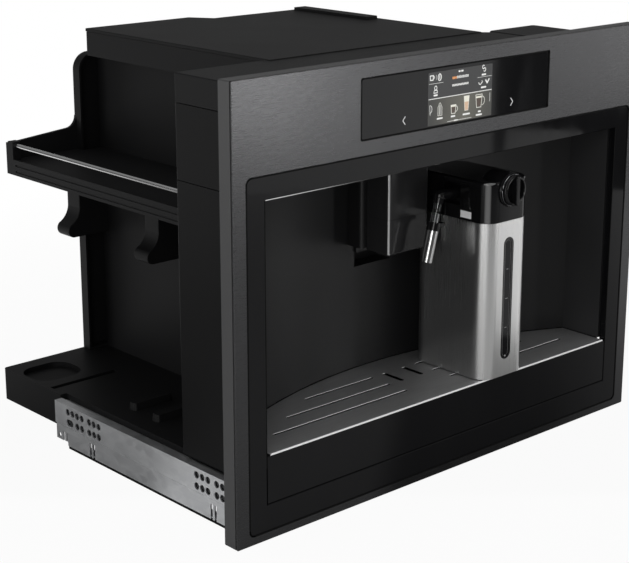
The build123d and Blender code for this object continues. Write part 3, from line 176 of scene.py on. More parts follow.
class Finish(Nodes):
    """A surface material: one shader, its plain values, and what varies over the surface."""

    def __init__(self, name, **plain):
        self.material = bpy.data.materials.new(name)
        self.material.use_nodes = True
        super().__init__(self.material.node_tree)
        self.shader = self.tree.nodes["Principled BSDF"]
        self.places = self.node("ShaderNodeTexCoord", {}, {}, "Object")
        for socket, value in plain.items():
            self.plain(socket.replace("_", " "), value)

    def plain(self, socket, value):
        """A number or colour that is the same all over the surface."""
        found = {s.name.lower(): s for s in self.shader.inputs}[socket.lower()]
        if found.type == "RGBA" and len(value) == 3:
            value = (*value, 1.0)
        found.default_value = value

    def feed(self, socket, wire):
        """What varies over the surface."""
        self.tree.links.new(wire.socket, self.shader.inputs[socket])

    def place(self, axis):
        """The X, Y or Z of the place on the surface, in metres."""
        return self.part(self.places, axis)

    def facing(self, axis):
        """The X, Y or Z of the way that the surface faces."""
        return self.part(self.node("ShaderNodeNewGeometry", {}, {}, "Normal"), axis)

    def stretched(self, per_metre):
        """The place on the surface, scaled by so many features a metre along X, Y and Z."""
        return self.node("ShaderNodeMapping", {"vector_type": "POINT"},
                         {"Vector": self.places, "Scale": per_metre})

    def noise(self, per_metre, detail=3.0, roughness=0.55):
        """Noise from 0 to 1 with so many features a metre along X, Y and Z."""
        return self.node("ShaderNodeTexNoise", {"noise_dimensions": "3D"},
                         {"Vector": self.stretched(per_metre), "Scale": 1.0, "Detail": detail,
                          "Roughness": roughness})

    def cells(self, per_metre, output="Color"):
        """Small random patches, so many a metre."""
        return self.node("ShaderNodeTexVoronoi", {"feature": "F1"},
                         {"Vector": self.stretched(per_metre), "Scale": 1.0}, output)

    def bump(self, height, distance, strength=1.0):
        """Relief: height from 0 to 1 stands for this distance."""
        self.feed("Normal", self.node("ShaderNodeBump", {},
                                      {"Height": height, "Distance": distance, "Strength": strength}))


def set_stops(ramp, stops):
    """Gives a colour ramp its stops of position and colour."""
    while len(ramp.elements) > 1:
        ramp.elements.remove(ramp.elements[-1])
    ramp.elements[0].position, ramp.elements[0].color = stops[0][0], shade(stops[0][1])
    for position, colour in stops[1:]:
        ramp.elements.new(position).color = shade(colour)


def shade(colour):
    """A colour as four numbers; one number alone is a grey."""
    if isinstance(colour, Wire):
        return colour
    if isinstance(colour, (int, float)):
        colour = (colour, colour, colour)
    return (*colour, 1.0) if len(colour) == 3 else tuple(colour)


# ---------------------------------------------------------------- finishes
def brushed(name, colour, roughness, along, grain=(60.0, 1300.0), contrast=0.12, depth=0.00002):
    """Brushed metal whose scratches run along one axis: 0 for X, 1 for Y and 2 for Z."""
    finish = Finish(name, metallic=1.0)
    coarse, fine = [grain[1]] * 3, [grain[1] * 2.6] * 3
    coarse[along], fine[along] = grain[0], grain[0] * 2.2
    streaks = finish.noise(coarse, 4.0)
    hairs = finish.noise(fine, 2.0)
    wash = finish.noise((5.0, 5.0, 5.0), 2.0)
    scratched = streaks * 0.6 + hairs * 0.4
    finish.feed("Base Color", finish.between(scratched, [c * (1 - contrast) for c in colour],
                                             [c * (1 + contrast) for c in colour]))
    finish.feed("Roughness", roughness + (scratched - 0.5) * contrast * 1.6 + (wash - 0.5) * 0.08)
    finish.bump(scratched, depth, 0.55)
    return finish.material


def polished(name, colour, roughness):
    """Bright plated or polished steel with faint handling marks."""
    finish = Finish(name, metallic=1.0)
    marks = finish.noise((90.0, 90.0, 900.0), 3.0)
    finish.feed("Base Color", finish.between(marks, [c * 0.93 for c in colour], colour))
    finish.feed("Roughness", roughness + marks * 0.08)
    finish.bump(marks, 0.000006, 0.4)
    return finish.material


def zinc_sheet():
    """Bright zinc-plated sheet: faint crystals and rolling lines."""
    finish = Finish("zinc_plated_sheet", metallic=1.0)
    crystals = finish.part(finish.cells((160.0, 90.0, 160.0)), 0)
    rolling = finish.noise((1500.0, 25.0, 1500.0), 3.0)
    mottle = crystals * 0.35 + rolling * 0.65
    finish.feed("Base Color", finish.between(mottle, (0.74, 0.75, 0.77), (0.88, 0.89, 0.90)))
    finish.feed("Roughness", 0.30 + mottle * 0.16)
    finish.bump(rolling, 0.000015, 0.5)
    return finish.material


def cut_steel_grid():
    """Brushed sheet whose cut edges, on the front and in the slots, are paler and smoother: partly ground
    metal, partly a painted highlight.
    """
    finish = Finish("slotted_grid_steel", metallic=1.0)
    streaks = finish.noise((45.0, 1500.0, 1500.0), 4.0)
    patches = finish.noise((14.0, 30.0, 14.0), 2.0)
    flat = finish.steps(abs(finish.facing(2)), 0.4, 0.7)
    scratched = streaks * 0.75 + patches * 0.25
    top = finish.between(scratched, (0.58, 0.58, 0.585), (0.86, 0.86, 0.865))
    # Faces that are not flat, the cut edges, get a pale colour: partly ground metal, partly a painted
    # highlight.
    finish.feed("Base Color", finish.between(flat, (0.92, 0.92, 0.92), top))
    finish.feed("Roughness", 0.16 + flat * (0.24 + scratched * 0.16))
    finish.bump(scratched, 0.00002, 0.5)
    return finish.material


def gloss_panel(name, colour, roughness, level=0.5):
    """Gloss-black glass or lacquer: a deep even colour with faint wiping marks."""
    finish = Finish(name, specular_ior_level=level, coat_roughness=0.03)
    wiping = finish.noise((30.0, 30.0, 9.0), 4.0)
    specks = finish.noise((900.0, 900.0, 900.0), 1.0)
    finish.feed("Base Color", finish.between(wiping, colour, [c * 1.7 + 0.001 for c in colour]))
    finish.feed("Roughness", roughness + finish.steps(wiping, 0.45, 0.8) * 0.05 + specks * 0.01)
    finish.bump(finish.noise((25.0, 25.0, 25.0), 1.0), 0.00004, 0.12)
    return finish.material


def lacquer_with_painted_edge_highlight(name, colour, roughness, level, painted_highlight, painted_highlight_metal, sharp):
    """Gloss lacquer with a painted highlight on its rounded edges, where it turns pale and part metal."""
    finish = Finish(name, specular_ior_level=level)
    across, along, upward = (finish.facing(axis) for axis in range(3))
    turned_away = abs(across * along) + abs(along * upward) * 0.6
    # Painted highlight: where the surface faces between two axes, as on its rounded edges, the colour goes
    # pale and part metal.
    painted_highlight_mask = finish.steps(turned_away, sharp, 0.5)
    wiping = finish.noise((30.0, 30.0, 9.0), 4.0)
    flat = finish.between(wiping, colour, [c * 1.5 + 0.001 for c in colour])
    finish.feed("Base Color", finish.between(painted_highlight_mask, flat, painted_highlight))
    finish.feed("Metallic", painted_highlight_mask * painted_highlight_metal)
    finish.feed("Roughness", roughness + finish.steps(wiping, 0.45, 0.8) * 0.05)
    finish.bump(wiping, 0.00002, 0.12)
    return finish.material


def moulded(name, colour, roughness, grain=1700.0, relief=0.00006, level=0.45):
    """Moulded plastic with a fine spark-eroded grain."""
    finish = Finish(name, specular_ior_level=level)
    pits = finish.cells((grain, grain, grain), "Distance")
    grit = finish.noise((grain * 1.4, grain * 1.4, grain * 1.4), 2.0)
    flow = finish.noise((7.0, 7.0, 7.0), 3.0)
    surface = pits * 0.5 + grit * 0.5
    finish.feed("Base Color", finish.between(flow * 0.7 + grit * 0.3, [c * 0.82 for c in colour],
                                             [c * 1.2 for c in colour]))
    finish.feed("Roughness", roughness + (grit - 0.5) * 0.14 + (flow - 0.5) * 0.10)
    finish.bump(surface, relief, 0.5)
    return finish.material


def niche_satin_with_painted_wall_light():
    """Satin lining of the niche, with painted light that makes its side walls paler."""
    finish = Finish("niche_satin_black", specular_ior_level=0.30)
    grit = finish.noise((3000.0, 3000.0, 3000.0), 2.0)
    flow = finish.noise((7.0, 7.0, 7.0), 3.0)
    # Painted light: the walls that face along X get a paler colour, for the light that falls on them.
    side = finish.steps(abs(finish.facing(0)), 0.7, 0.95)
    shown = finish.between(side, (0.009, 0.009, 0.0094), (0.045, 0.045, 0.046))
    finish.feed("Base Color", finish.between(flow * 0.7 + grit * 0.3, shown, (0.011, 0.011, 0.0114)))
    finish.feed("Roughness", 0.36 + (grit - 0.5) * 0.14 + (flow - 0.5) * 0.10)
    finish.bump(grit, 0.00002, 0.5)
    return finish.material


def painted_glass_edge_highlight():
    """The glass frame's upper edge with a painted highlight: pale at the left corner and dark further along.
    """
    finish = Finish("painted_glass_edge_highlight", specular_ior_level=0.3)
    grit = finish.noise((900.0, 900.0, 900.0), 2.0)
    along = finish.steps(finish.place(0), -0.25, -0.12)
    finish.feed("Base Color", finish.between(along, (0.70, 0.70, 0.70), (0.005, 0.005, 0.005)))
    finish.feed("Roughness", 0.4 + grit * 0.2)
    finish.bump(grit, 0.00001, 0.3)
    return finish.material


def clear(name, colour, roughness, clearness=1.0):
    """Clear moulded plastic with faint flow lines."""
    finish = Finish(name, transmission_weight=clearness, ior=1.49)
    flow = finish.noise((40.0, 40.0, 12.0), 3.0)
    finish.feed("Base Color", finish.between(flow, colour, [min(1.0, c * 1.06) for c in colour]))
    finish.feed("Roughness", roughness + flow * 0.04)
    finish.bump(flow, 0.00005, 0.2)
    return finish.material


def painted(name, colour, roughness):
    """Powder coat with its fine orange peel."""
    finish = Finish(name)
    peel = finish.noise((420.0, 420.0, 420.0), 3.0)
    finish.feed("Base Color", finish.between(peel, [c * 0.9 for c in colour], [c * 1.12 for c in colour]))
    finish.feed("Roughness", roughness + (peel - 0.5) * 0.15)
    finish.bump(peel, 0.00005, 0.35)
    return finish.material


def circuit_board():
    """Green solder resist with its copper tracks and bright pads."""
    finish = Finish("circuit_board", specular_ior_level=0.5)
    tracks = finish.node("ShaderNodeTexBrick", {"offset": 0.3, "squash": 0.6},
                         {"Vector": finish.stretched((90.0, 90.0, 130.0)), "Scale": 1.0, "Mortar Size": 0.035,
                          "Color1": shade((0.012, 0.09, 0.03)), "Color2": shade((0.016, 0.12, 0.04)),
                          "Mortar": shade((0.30, 0.22, 0.08))}, "Color")
    finish.feed("Base Color", tracks)
    grit = finish.noise((500.0, 500.0, 500.0), 2.0)
    finish.feed("Roughness", 0.32 + grit * 0.2)
    finish.bump(grit, 0.00004, 0.4)
    return finish.material


def glow(name, colour, strength):
    """A lit mark of the screen, a little uneven as printed or backlit marks are."""
    finish = Finish(name, roughness=0.3, base_color=(0.0, 0.0, 0.0), emission_strength=strength)
    unevenness = finish.noise((600.0, 600.0, 600.0), 2.0)
    finish.feed("Emission Color", finish.between(unevenness, [c * 0.8 for c in colour], colour))
    return finish.material


# ---------------------------------------------------------------- making pieces
def new_piece(name, body, material, shape, smooth_angle=40.0):
    """A piece from a finished bmesh, which rides on a body."""
    bmesh.ops.recalc_face_normals(shape, faces=shape.faces)
    mesh = bpy.data.meshes.new(name)
    shape.to_mesh(mesh)
    shape.free()
    piece = bpy.data.objects.new(name, mesh)
    bpy.context.scene.collection.objects.link(piece)
    mesh.materials.append(material)
    mesh.shade_smooth()
    mesh.set_sharp_from_angle(angle=math.radians(smooth_angle))
    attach(piece, body)
    return piece


def prism(shape, outline, front, back):
    """A flat closed outline in X and Z, as deep as from front to back along Y."""
    near = [shape.verts.new((x, front, z)) for x, z in outline]
    far = [shape.verts.new((x, back, z)) for x, z in outline]
    shape.faces.new(near)
    shape.faces.new(far[::-1])
    for i in range(len(outline)):
        j = (i + 1) % len(outline)
        shape.faces.new((near[j], near[i], far[i], far[j]))


def rounded_rectangle(middle, width, height, corner, steps=5):
    """The outline of a rectangle with round corners."""
    points = []
    for turn, (sx, sz) in enumerate(((1, 1), (-1, 1), (-1, -1), (1, -1))):
        centre = (middle[0] + sx * (width / 2 - corner), middle[1] + sz * (height / 2 - corner))
        for step in range(steps + 1):
            angle = math.radians(90 * (turn + step / steps))
            points.append((centre[0] + corner * math.cos(angle), centre[1] + corner * math.sin(angle)))
    return points


def ellipse(middle, width, height, steps=20, start=0.0, sweep=360.0):
    """Points of an ellipse or of an arc of one, from start through sweep, in degrees."""
    closed = abs(sweep) >= 360
    angles = [math.radians(start + sweep * i / steps) for i in range(steps if closed else steps + 1)]
    return [(middle[0] + width / 2 * math.cos(angle), middle[1] + height / 2 * math.sin(angle))
            for angle in angles]


def stroke(shape, points, width, front, back, closed=False):
    """A line of even width through points in X and Z. Its lengths overlap a little where they meet."""
    overlap = 0.3
    path = list(points) + ([points[0]] if closed else [])
    for (x1, z1), (x2, z2) in zip(path, path[1:]):
        along = Vector((x2 - x1, z2 - z1))
        if along.length < TINY:
            continue
        along.normalize()
        side = Vector((-along.y, along.x)) * width / 2
        reach = along * width * overlap
        start, end = (x1 - reach.x, z1 - reach.y), (x2 + reach.x, z2 + reach.y)
        prism(shape, [(start[0] + side.x, start[1] + side.y), (start[0] - side.x, start[1] - side.y),
                      (end[0] - side.x, end[1] - side.y), (end[0] + side.x, end[1] + side.y)], front, back)


def turned(shape, profile, place, axis, steps=64):
    """A turned shape: its profile of (distance along the axis, radius) goes round the axis from place."""
    tilt = Vector(axis).to_track_quat("Z", "Y").to_matrix()
    angles = [2 * math.pi * i / steps for i in range(steps)]
    rings = []
    for along, radius in profile:
        if radius < TINY:
            points = [(0, 0, along)]
        else:
            points = [(radius * math.cos(angle), radius * math.sin(angle), along) for angle in angles]
        rings.append([shape.verts.new(Vector(place) + tilt @ Vector(point)) for point in points])
    for lower, upper in zip(rings, rings[1:]):
        for i in range(steps):
            j = (i + 1) % steps
            unique = list(dict.fromkeys([lower[i % len(lower)], lower[j % len(lower)],
                                         upper[j % len(upper)], upper[i % len(upper)]]))
            if len(unique) > 2:
                shape.faces.new(unique)


def soften(piece, width, segments=2, angle=35.0):
    """Rounds a piece's sharp edges."""
    bevel = piece.modifiers.new("soft_edges", "BEVEL")
    bevel.width = width
    bevel.segments = segments
    bevel.limit_method = "ANGLE"
    bevel.angle_limit = math.radians(angle)


# ---------------------------------------------------------------- sizes and colours that a user would change
class ScreenSettings(bpy.types.PropertyGroup):
    left: FloatProperty(name="Left edge", description="X of the picture's left edge", default=-0.0465,
                        unit="LENGTH")
    right: FloatProperty(name="Right edge", description="X of the picture's right edge", default=0.0482,
                         unit="LENGTH")
    low: FloatProperty(name="Lower edge", description="Height of the picture's lower edge", default=0.3815,
                       unit="LENGTH")
    high: FloatProperty(name="Upper edge", description="Height of the picture's upper edge", default=0.4353,
                        unit="LENGTH")
    divider: FloatProperty(name="Divider", description="Height of the line between the two zones",
                           default=0.4084, unit="LENGTH")
    line: FloatProperty(name="Line width", description="Width of the icons' lines", default=0.0007,
                        unit="LENGTH")
    arrow_reach: FloatProperty(name="Arrow distance", description="X of the touch arrows", default=0.0798,
                               unit="LENGTH")
    glow: FloatProperty(name="Brightness", description="Brightness of the lit marks", default=0.95, min=0.0)


class KnobSettings(bpy.types.PropertyGroup):
    flange: FloatProperty(name="Flange", description="Thickness of the knob's back flange", default=0.0035,
                          unit="LENGTH")
    drum_share: FloatProperty(name="Drum", description="Drum's diameter as a share of the flange's",
                              default=0.93, min=0.5, max=1.0, subtype="FACTOR")
    grip_width: FloatProperty(name="Finger bar", description="Width of the finger bar", default=0.0052,
                              unit="LENGTH")
    flutes: IntProperty(name="Flutes", description="Shallow flutes round the drum", default=36, min=6)


class StageSettings(bpy.types.PropertyGroup):
    lens: FloatProperty(name="Lens", description="Focal length in millimetres", default=90.74, min=10.0,
                        unit="CAMERA")
    shift: FloatProperty(name="Shift", description="Vertical shift of the lens", default=-0.06)
    place: FloatVectorProperty(name="Camera", description="Where the camera stands",
                               default=(-1.17512, -1.30550, 0.68554), size=3, subtype="TRANSLATION")
    yaw: FloatProperty(name="Yaw", description="Turn of the camera to the right of +Y",
                       default=math.radians(42.094), subtype="ANGLE")
    pitch: FloatProperty(name="Pitch", description="How far the camera looks down",
                         default=math.radians(15.264), subtype="ANGLE")
    floor_radius: FloatProperty(name="Floor", description="Radius of the floor", default=1.5, unit="LENGTH")


class MachineSettings(bpy.types.PropertyGroup):
    screen: PointerProperty(type=ScreenSettings, name="Screen", description="The picture on the display")
    knob: PointerProperty(type=KnobSettings, name="Froth knob", description="The knob on the jug's lid")
    stage: PointerProperty(type=StageSettings, name="Stage", description="Camera, floor and light")
    panel_colour: FloatVectorProperty(name="Panel steel", description="Colour of the black steel",
                                      default=(0.074, 0.074, 0.076), size=3, subtype="COLOR",
                                      min=0.0, max=1.0)
    body_colour: FloatVectorProperty(name="Body plastic", description="Colour of the moulded covers",
                                     default=(0.0055, 0.0055, 0.0058), size=3, subtype="COLOR",
                                     min=0.0, max=1.0)


def settings():
    """The sizes and colours that are set in this scene."""
    return bpy.context.scene.coffee_machine


# ---------------------------------------------------------------- operators
class MACHINE_OT_finish_frame(bpy.types.Operator):
    """Gives every construction node its finish"""

    bl_idname = "coffee_machine.finish_frame"
    bl_label = "Finish the construction"

    def execute(self, context):
        body = tuple(settings().body_colour)
        by_slot = {
            "rail_zinc": zinc_sheet(),
            "screw_steel": polished("screw_steel", (0.55, 0.55, 0.56), 0.28),
            "black_steel": brushed("black_brushed_steel", tuple(settings().panel_colour), 0.28, 0,
                                   grain=(45.0, 1200.0), contrast=0.10, depth=0.000012),
            "panel_grey": painted("grey_carrier_paint", (0.040, 0.040, 0.041), 0.42),
            "black_glass": gloss_panel("black_frame_glass", (0.0030, 0.0030, 0.0034), 0.04, 0.22),
            "display_glass": gloss_panel("display_glass", (0.0035, 0.0035, 0.0040), 0.04, 0.30),
            "satin_black": moulded("satin_niche_black", (0.009, 0.009, 0.0094), 0.36, 2300.0, 0.00002, 0.30),
            "body_black": moulded("moulded_body_black", body, 0.50, 1500.0, 0.00007, 0.16),
            "gloss_black": gloss_panel("gloss_black_plastic", (0.0035, 0.0035, 0.0038), 0.07, 0.40),
            "jug_steel": brushed("jug_brushed_steel", (0.68, 0.68, 0.675), 0.28, 2, grain=(6.0, 1100.0),
                                 contrast=0.07, depth=0.00001),
            "grid_steel": cut_steel_grid(),
            "tip_steel": polished("bright_steel", (0.80, 0.80, 0.80), 0.10),
            "clear_plastic": clear("clear_plastic", (0.92, 0.94, 0.95), 0.03),
            "boiler_steel": brushed("plain_inner_metal", (0.60, 0.60, 0.60), 0.38, 1),
            "burr_steel": polished("burr_steel", (0.42, 0.42, 0.43), 0.30),
            "white_plastic": moulded("grey_technical_plastic", (0.20, 0.20, 0.205), 0.45),
            "board_green": circuit_board(),
        }
        cover = moulded("smooth_cover_black", [c * 0.5 for c in body], 0.40, 1500.0, 0.00005, 0.13)
        # The rails' middle members are made dark as painted shade, so that the holes in the outer sheets look
        # black.
        shadow_steel = brushed("rail_middle_painted_shade_steel", (0.05, 0.05, 0.052), 0.45, 1)
        own = {
            "niche_liner": niche_satin_with_painted_wall_light(),
            # The spout's and the lid's rounded edges carry a painted highlight.
            "spout_cover": lacquer_with_painted_edge_highlight("spout_lacquer_painted_edge_highlight", (0.014, 0.014, 0.0145), 0.12, 0.28, 0.55, 0.60, 0.38),
            "jug_lid": lacquer_with_painted_edge_highlight("lid_lacquer_painted_edge_highlight", (0.0030, 0.0030, 0.0033), 0.08, 0.17, 0.16, 0.20, 0.45),
            "side_cover_left": cover, "side_cover_right": cover, "head_housing": cover,
            "drip_basin": moulded("basin_black", (0.005, 0.005, 0.005), 0.42, level=0.25),
            "jug_window": gloss_panel("smoked_window", (0.0030, 0.0030, 0.0035), 0.05, 0.14),
            "power_inlet": moulded("inlet_black", (0.008, 0.008, 0.008), 0.4),
            "drawer_front": gloss_panel("drawer_lacquer", (0.0030, 0.0030, 0.0034), 0.05, 0.22),
            "water_tank": clear("smoked_tank", (0.55, 0.60, 0.64), 0.08),
            "bean_hopper": clear("smoked_hopper", (0.45, 0.43, 0.40), 0.10),
            "rail_middle_left": shadow_steel,
            "rail_middle_right": shadow_steel,
            "lid_plate": painted("lid_plate_silver", (0.82, 0.82, 0.82), 0.42),
        }
        for part in frame["record"]["subparts"]:
            node = frame["nodes"][part["node"]]
            node.data.materials.clear()
            node.data.materials.append(own.get(part["node"], by_slot[part["material_slot"]]))
        return {"FINISHED"}


class MACHINE_OT_build_screen(bpy.types.Operator):
    """Draws the display's picture: plain icons, bars and drinks, and the two touch arrows"""

    bl_idname = "coffee_machine.build_screen"
    bl_label = "Screen picture"

    def execute(self, context):
        screen = settings().screen
        face = GLASS_LOW.y
        thin = 0.00004
        layers = [(face - thin * (i + 1), face - thin * i) for i in range(7)]
        width, height = screen.right - screen.left, screen.high - screen.low
        middle = ((screen.left + screen.right) / 2, (screen.low + screen.high) / 2)

        backlight = bmesh.new()
        prism(backlight, rounded_rectangle(middle, width, height, 0.0012), *layers[0])
        new_piece("screen_backlight", "machine", glow("screen_backlight", (0.045, 0.046, 0.048), 0.55),
                  backlight)

        menu_band = bmesh.new()
        band_height = screen.divider - screen.low
        band_middle = (middle[0], screen.low + band_height / 2)
        prism(menu_band, rounded_rectangle(band_middle, width, band_height, 0.0008), *layers[1])
        new_piece("screen_menu_band", "machine", menu_band_glow(screen), menu_band)

        lines = bmesh.new()
        for points, closed, weight in screen_lines(screen):
            stroke(lines, points, screen.line * weight, *layers[2], closed=closed)
        bar_height = 0.0018
        for bar_middle, bar_width in screen_bars():
            prism(lines, rounded_rectangle(bar_middle, bar_width, bar_height, bar_height / 3, 3), *layers[2])
        new_piece("screen_icons", "machine", glow("screen_white", (0.9, 0.9, 0.88), screen.glow), lines)

        dots = bmesh.new()
        for index in range(LIT_MARKS):
            prism(dots, ellipse((MARKS_FROM + index * MARKS_APART, 0.4266), 0.0019, 0.0028, 12), *layers[2])
        new_piece("screen_strength_dots", "machine", glow("screen_amber", (0.95, 0.38, 0.12), screen.glow),
                  dots)

        glasses = bmesh.new()
        for points, closed, weight in screen_glasses():
            stroke(glasses, points, screen.line * weight, *layers[6], closed=closed)
        new_piece("screen_glasses", "machine", glow("screen_glass_white", (0.86, 0.85, 0.78), screen.glow),
                  glasses)

        for layer, (name, colour, shapes) in zip(layers[3:], screen_drinks()):
            drink = bmesh.new()
            for outline in shapes:
                prism(drink, outline, *layer)
            new_piece(name, "machine", glow(name, colour, screen.glow), drink)

        arrows = bmesh.new()
        arrow_middle, arrow_half = 0.3917, 0.0039
        for side in (-1, 1):
            tip = (side * screen.arrow_reach + side * 0.0018, arrow_middle)
            tail = side * screen.arrow_reach - side * 0.0014
            stroke(arrows, [(tail, arrow_middle + arrow_half), tip, (tail, arrow_middle - arrow_half)],
                   screen.line * 1.2, *layers[0])
        new_piece("touch_arrows", "machine", glow("touch_arrow_white", (0.8, 0.8, 0.8), screen.glow), arrows)
        return {"FINISHED"}


# The row of small marks: its first X, the step between marks, how many there are and how many are amber.
MARKS_FROM, MARKS_APART, MARKS, LIT_MARKS = -0.0108, 0.0022, 11, 3


def menu_band_glow(screen):
    """The menu's band: olive grey, lighter behind the middle drinks and darker to both sides."""
    finish = Finish("screen_menu_glow", roughness=0.3, base_color=(0.0, 0.0, 0.0), emission_strength=0.7)
    from_middle = abs(finish.place(0) - 0.006) / (screen.right - screen.left) * 2
    haze = finish.noise((60.0, 60.0, 60.0), 2.0)
    finish.feed("Emission Color", finish.ramp(from_middle + (haze - 0.5) * 0.2, (0.0, (0.150, 0.145, 0.115)),
                                              (0.55, (0.085, 0.083, 0.068)), (1.0, (0.040, 0.040, 0.036))))
    return finish.material


def screen_lines(screen):
    """The icons' lines: points, whether they close, and their weight."""
    lines = [
        ([(-0.0440, 0.4320), (-0.0436, 0.4276), (-0.0398, 0.4276), (-0.0394, 0.4320)], True, 1.6),
        (ellipse((-0.0390, 0.4301), 0.0022, 0.0024, 8, -80, 160), False, 1.0),
        (ellipse((-0.0303, 0.4295), 0.0046, 0.0066, 20), True, 1.5),
        ([(-0.0303, 0.4312), (-0.0303, 0.4280)], False, 1.6),
        ([(-0.0352, 0.4322), (-0.0352, 0.4272)], False, 0.4),
        ([(-0.0455, 0.4238), (-0.0252, 0.4238)], False, 0.5),
        (ellipse((-0.0358, 0.4192), 0.0034, 0.0040, 14), True, 1.2),
        ([(-0.0384, 0.4142), (-0.0378, 0.4168), (-0.0338, 0.4168), (-0.0332, 0.4142)], True, 1.2),
        ([(0.0258, 0.4229), (0.0472, 0.4229)], False, 0.5),
        (ellipse((0.0345, 0.4330), 0.0030, 0.0036, 12, 40, 290), False, 1.3),
        (ellipse((0.0363, 0.4302), 0.0030, 0.0036, 12, 220, 290), False, 1.3),
        (ellipse((0.0300, 0.4176), 0.0042, 0.0042, 12, 180, 180), False, 1.3),
        (ellipse((0.0324, 0.4180), 0.0020, 0.0020, 8, -90, 180), False, 1.0),
        ([(0.0383, 0.4192), (0.0405, 0.4160), (0.0434, 0.4198)], False, 2.4),
        ([(-0.0455, screen.divider), (0.0476, screen.divider)], False, 1.1),
        ([(0.0452, 0.4053), (0.0452, 0.3962)], False, 0.7),
        ([(-0.0178, 0.3828), (0.0176, 0.3828)], False, 0.6),
        ([(-0.0078, 0.3829), (-0.0030, 0.3829)], False, 1.8),
        ([(-0.0440, 0.4022), (-0.0432, 0.3925)], False, 0.8),
        (ellipse((-0.0436, 0.3984), 0.0058, 0.0078, 10, 80, -170), False, 0.9),
    ]
    # Two rows of small marks in the middle: rings above, after the amber ones, and cups below.
    places = [MARKS_FROM + index * MARKS_APART for index in range(MARKS)]
    lines += [(ellipse((x, 0.4268), 0.0013, 0.0023, 8), True, 0.9) for x in places[LIT_MARKS:]]
    lines += [(ellipse((x, 0.4199), 0.0015, 0.0034, 8, 180, 180), False, 1.1) for x in places]
    return lines


def screen_bars():
    """Short bars in place of words: middle and width."""
    return [
        ((-0.0014, 0.4325), 0.0030), ((0.0026, 0.4325), 0.0034), ((-0.0358, 0.4118), 0.0058),
        ((0.0353, 0.4252), 0.0066), ((0.0353, 0.4121), 0.0078), ((-0.0292, 0.3876), 0.0085),
        ((-0.0097, 0.3874), 0.0064), ((0.0101, 0.3873), 0.0108), ((0.0298, 0.3876), 0.0044),
        ((0.0291, 0.3842), 0.0092),
    ]


# The outlines of the drinks' vessels, from the foot's left corner on.
FLASK = [(-0.0323, 0.3905), (-0.0262, 0.3905), (-0.0262, 0.3990), (-0.0278, 0.4018), (-0.0286, 0.4034),
         (-0.0299, 0.4034), (-0.0307, 0.4018), (-0.0323, 0.3990)]
SMALL_CUP = [(-0.0122, 0.3903), (-0.0068, 0.3903), (-0.0058, 0.3990), (-0.0132, 0.3990)]
TALL_GLASS = [(0.0074, 0.3912), (0.0124, 0.3912), (0.0138, 0.4060), (0.0060, 0.4060)]
MUG = [(0.0252, 0.3920), (0.0318, 0.3920), (0.0334, 0.4052), (0.0236, 0.4052)]


def level(outline, low, high, inset=0.0):
    """The slice of a four-cornered glass between two shares of its height."""
    (x0, z0), (x1, _), (x2, z1), (x3, _) = outline
    rows = []
    for share in (low, high):
        height = z0 + (z1 - z0) * share
        rows.append([(x0 + (x3 - x0) * share + inset, height), (x1 + (x2 - x1) * share - inset, height)])
    return rows[0] + rows[1][::-1]


def screen_glasses():
    """Outlines of the glasses and their handles: points, whether they close, and their weight."""
    return [
        (SMALL_CUP, True, 1.0), (TALL_GLASS, True, 0.7), (MUG, True, 1.0), (FLASK, True, 0.6),
        (ellipse((-0.0062, 0.3948), 0.0058, 0.0058, 12, -85, 170), False, 0.9),
        (ellipse((0.0330, 0.3985), 0.0084, 0.0092, 12, -85, 170), False, 0.9),
        ([(-0.0294, 0.3918), (-0.0294, 0.4008)], False, 1.1),
    ]


def screen_drinks():
    """What the glasses hold: name, colour and outlines."""
    return [
        ("screen_flask", (0.20, 0.20, 0.19), [FLASK]),
        ("screen_milk", (0.88, 0.86, 0.74),
         [level(TALL_GLASS, 0.60, 1.0), level(SMALL_CUP, 0.78, 0.97, 0.0004),
          level(MUG, 0.74, 0.88, 0.0005)]),
        ("screen_coffee", (0.72, 0.50, 0.34), [level(TALL_GLASS, 0.0, 0.60, 0.0002)]),
        ("screen_black_coffee", (0.075, 0.050, 0.035),
         [level(SMALL_CUP, 0.08, 0.76, 0.0005), level(MUG, 0.08, 0.72, 0.0006)]),
    ]


class MACHINE_OT_build_gap_shade(bpy.types.Operator):
    """Adds black strips of painted shade in the gaps round the display, the glass frame and the niche, and
    the rails' foot strips
    """

    bl_idname = "coffee_machine.build_gaskets"
    bl_label = "Gap shade and strips"

    def execute(self, context):
        dark_strip_finish = moulded("black_gap_shade_and_rail_strips", (0.003, 0.003, 0.003), 0.7, level=0.1)
        # Painted shade: black strips round the display and the glass frame, and down the niche's sides on the
        # glass, where the gaps lie in shadow.
        rings = bmesh.new()
        for low, high, corner in ((GLASS_LOW, GLASS_HIGH, 0.0017), (FRAME_LOW, FRAME_HIGH, 0.0060)):
            middle = ((low.x + high.x) / 2, (low.z + high.z) / 2)
            outline = rounded_rectangle(middle, high.x - low.x, high.z - low.z, corner, 6)
            stroke(rings, outline, 0.0017, PANEL_FACE - 0.0001, PANEL_FACE + 0.0008, closed=True)
        on_glass = (FRAME_LOW.y - PRINT_THICK, FRAME_LOW.y + 0.0006)
        for edge in (-NICHE_HALF, NICHE_HALF):
            stroke(rings, [(edge, DRAWER_TOP), (edge, NICHE_TOP)], 0.0009, *on_glass)
        new_piece("gap_painted_shade", "machine", dark_strip_finish, rings)

        # A painted highlight along the glass frame's upper inner edge, pale at the left corner.
        painted_highlight = bmesh.new()
        height = NICHE_TOP + 0.0003
        stroke(painted_highlight, [(-NICHE_HALF + 0.0010, height), (-0.08, height)], 0.0008, *on_glass)
        new_piece("glass_edge_painted_highlight", "machine", painted_glass_edge_highlight(), painted_highlight)

        strips = bmesh.new()
        inset, thick = 0.0014, 0.0030
        for low, high in (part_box("rail_outer_left"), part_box("rail_outer_right")):
            outside = low.x + inset if low.x < 0 else high.x - inset - thick
            flat_bar(strips, (outside, outside + thick), (low.y, high.y - 0.023), (low.z - thick, low.z))
        new_piece("rail_foot_strips", "cabinet_rails", dark_strip_finish, strips)
        return {"FINISHED"}


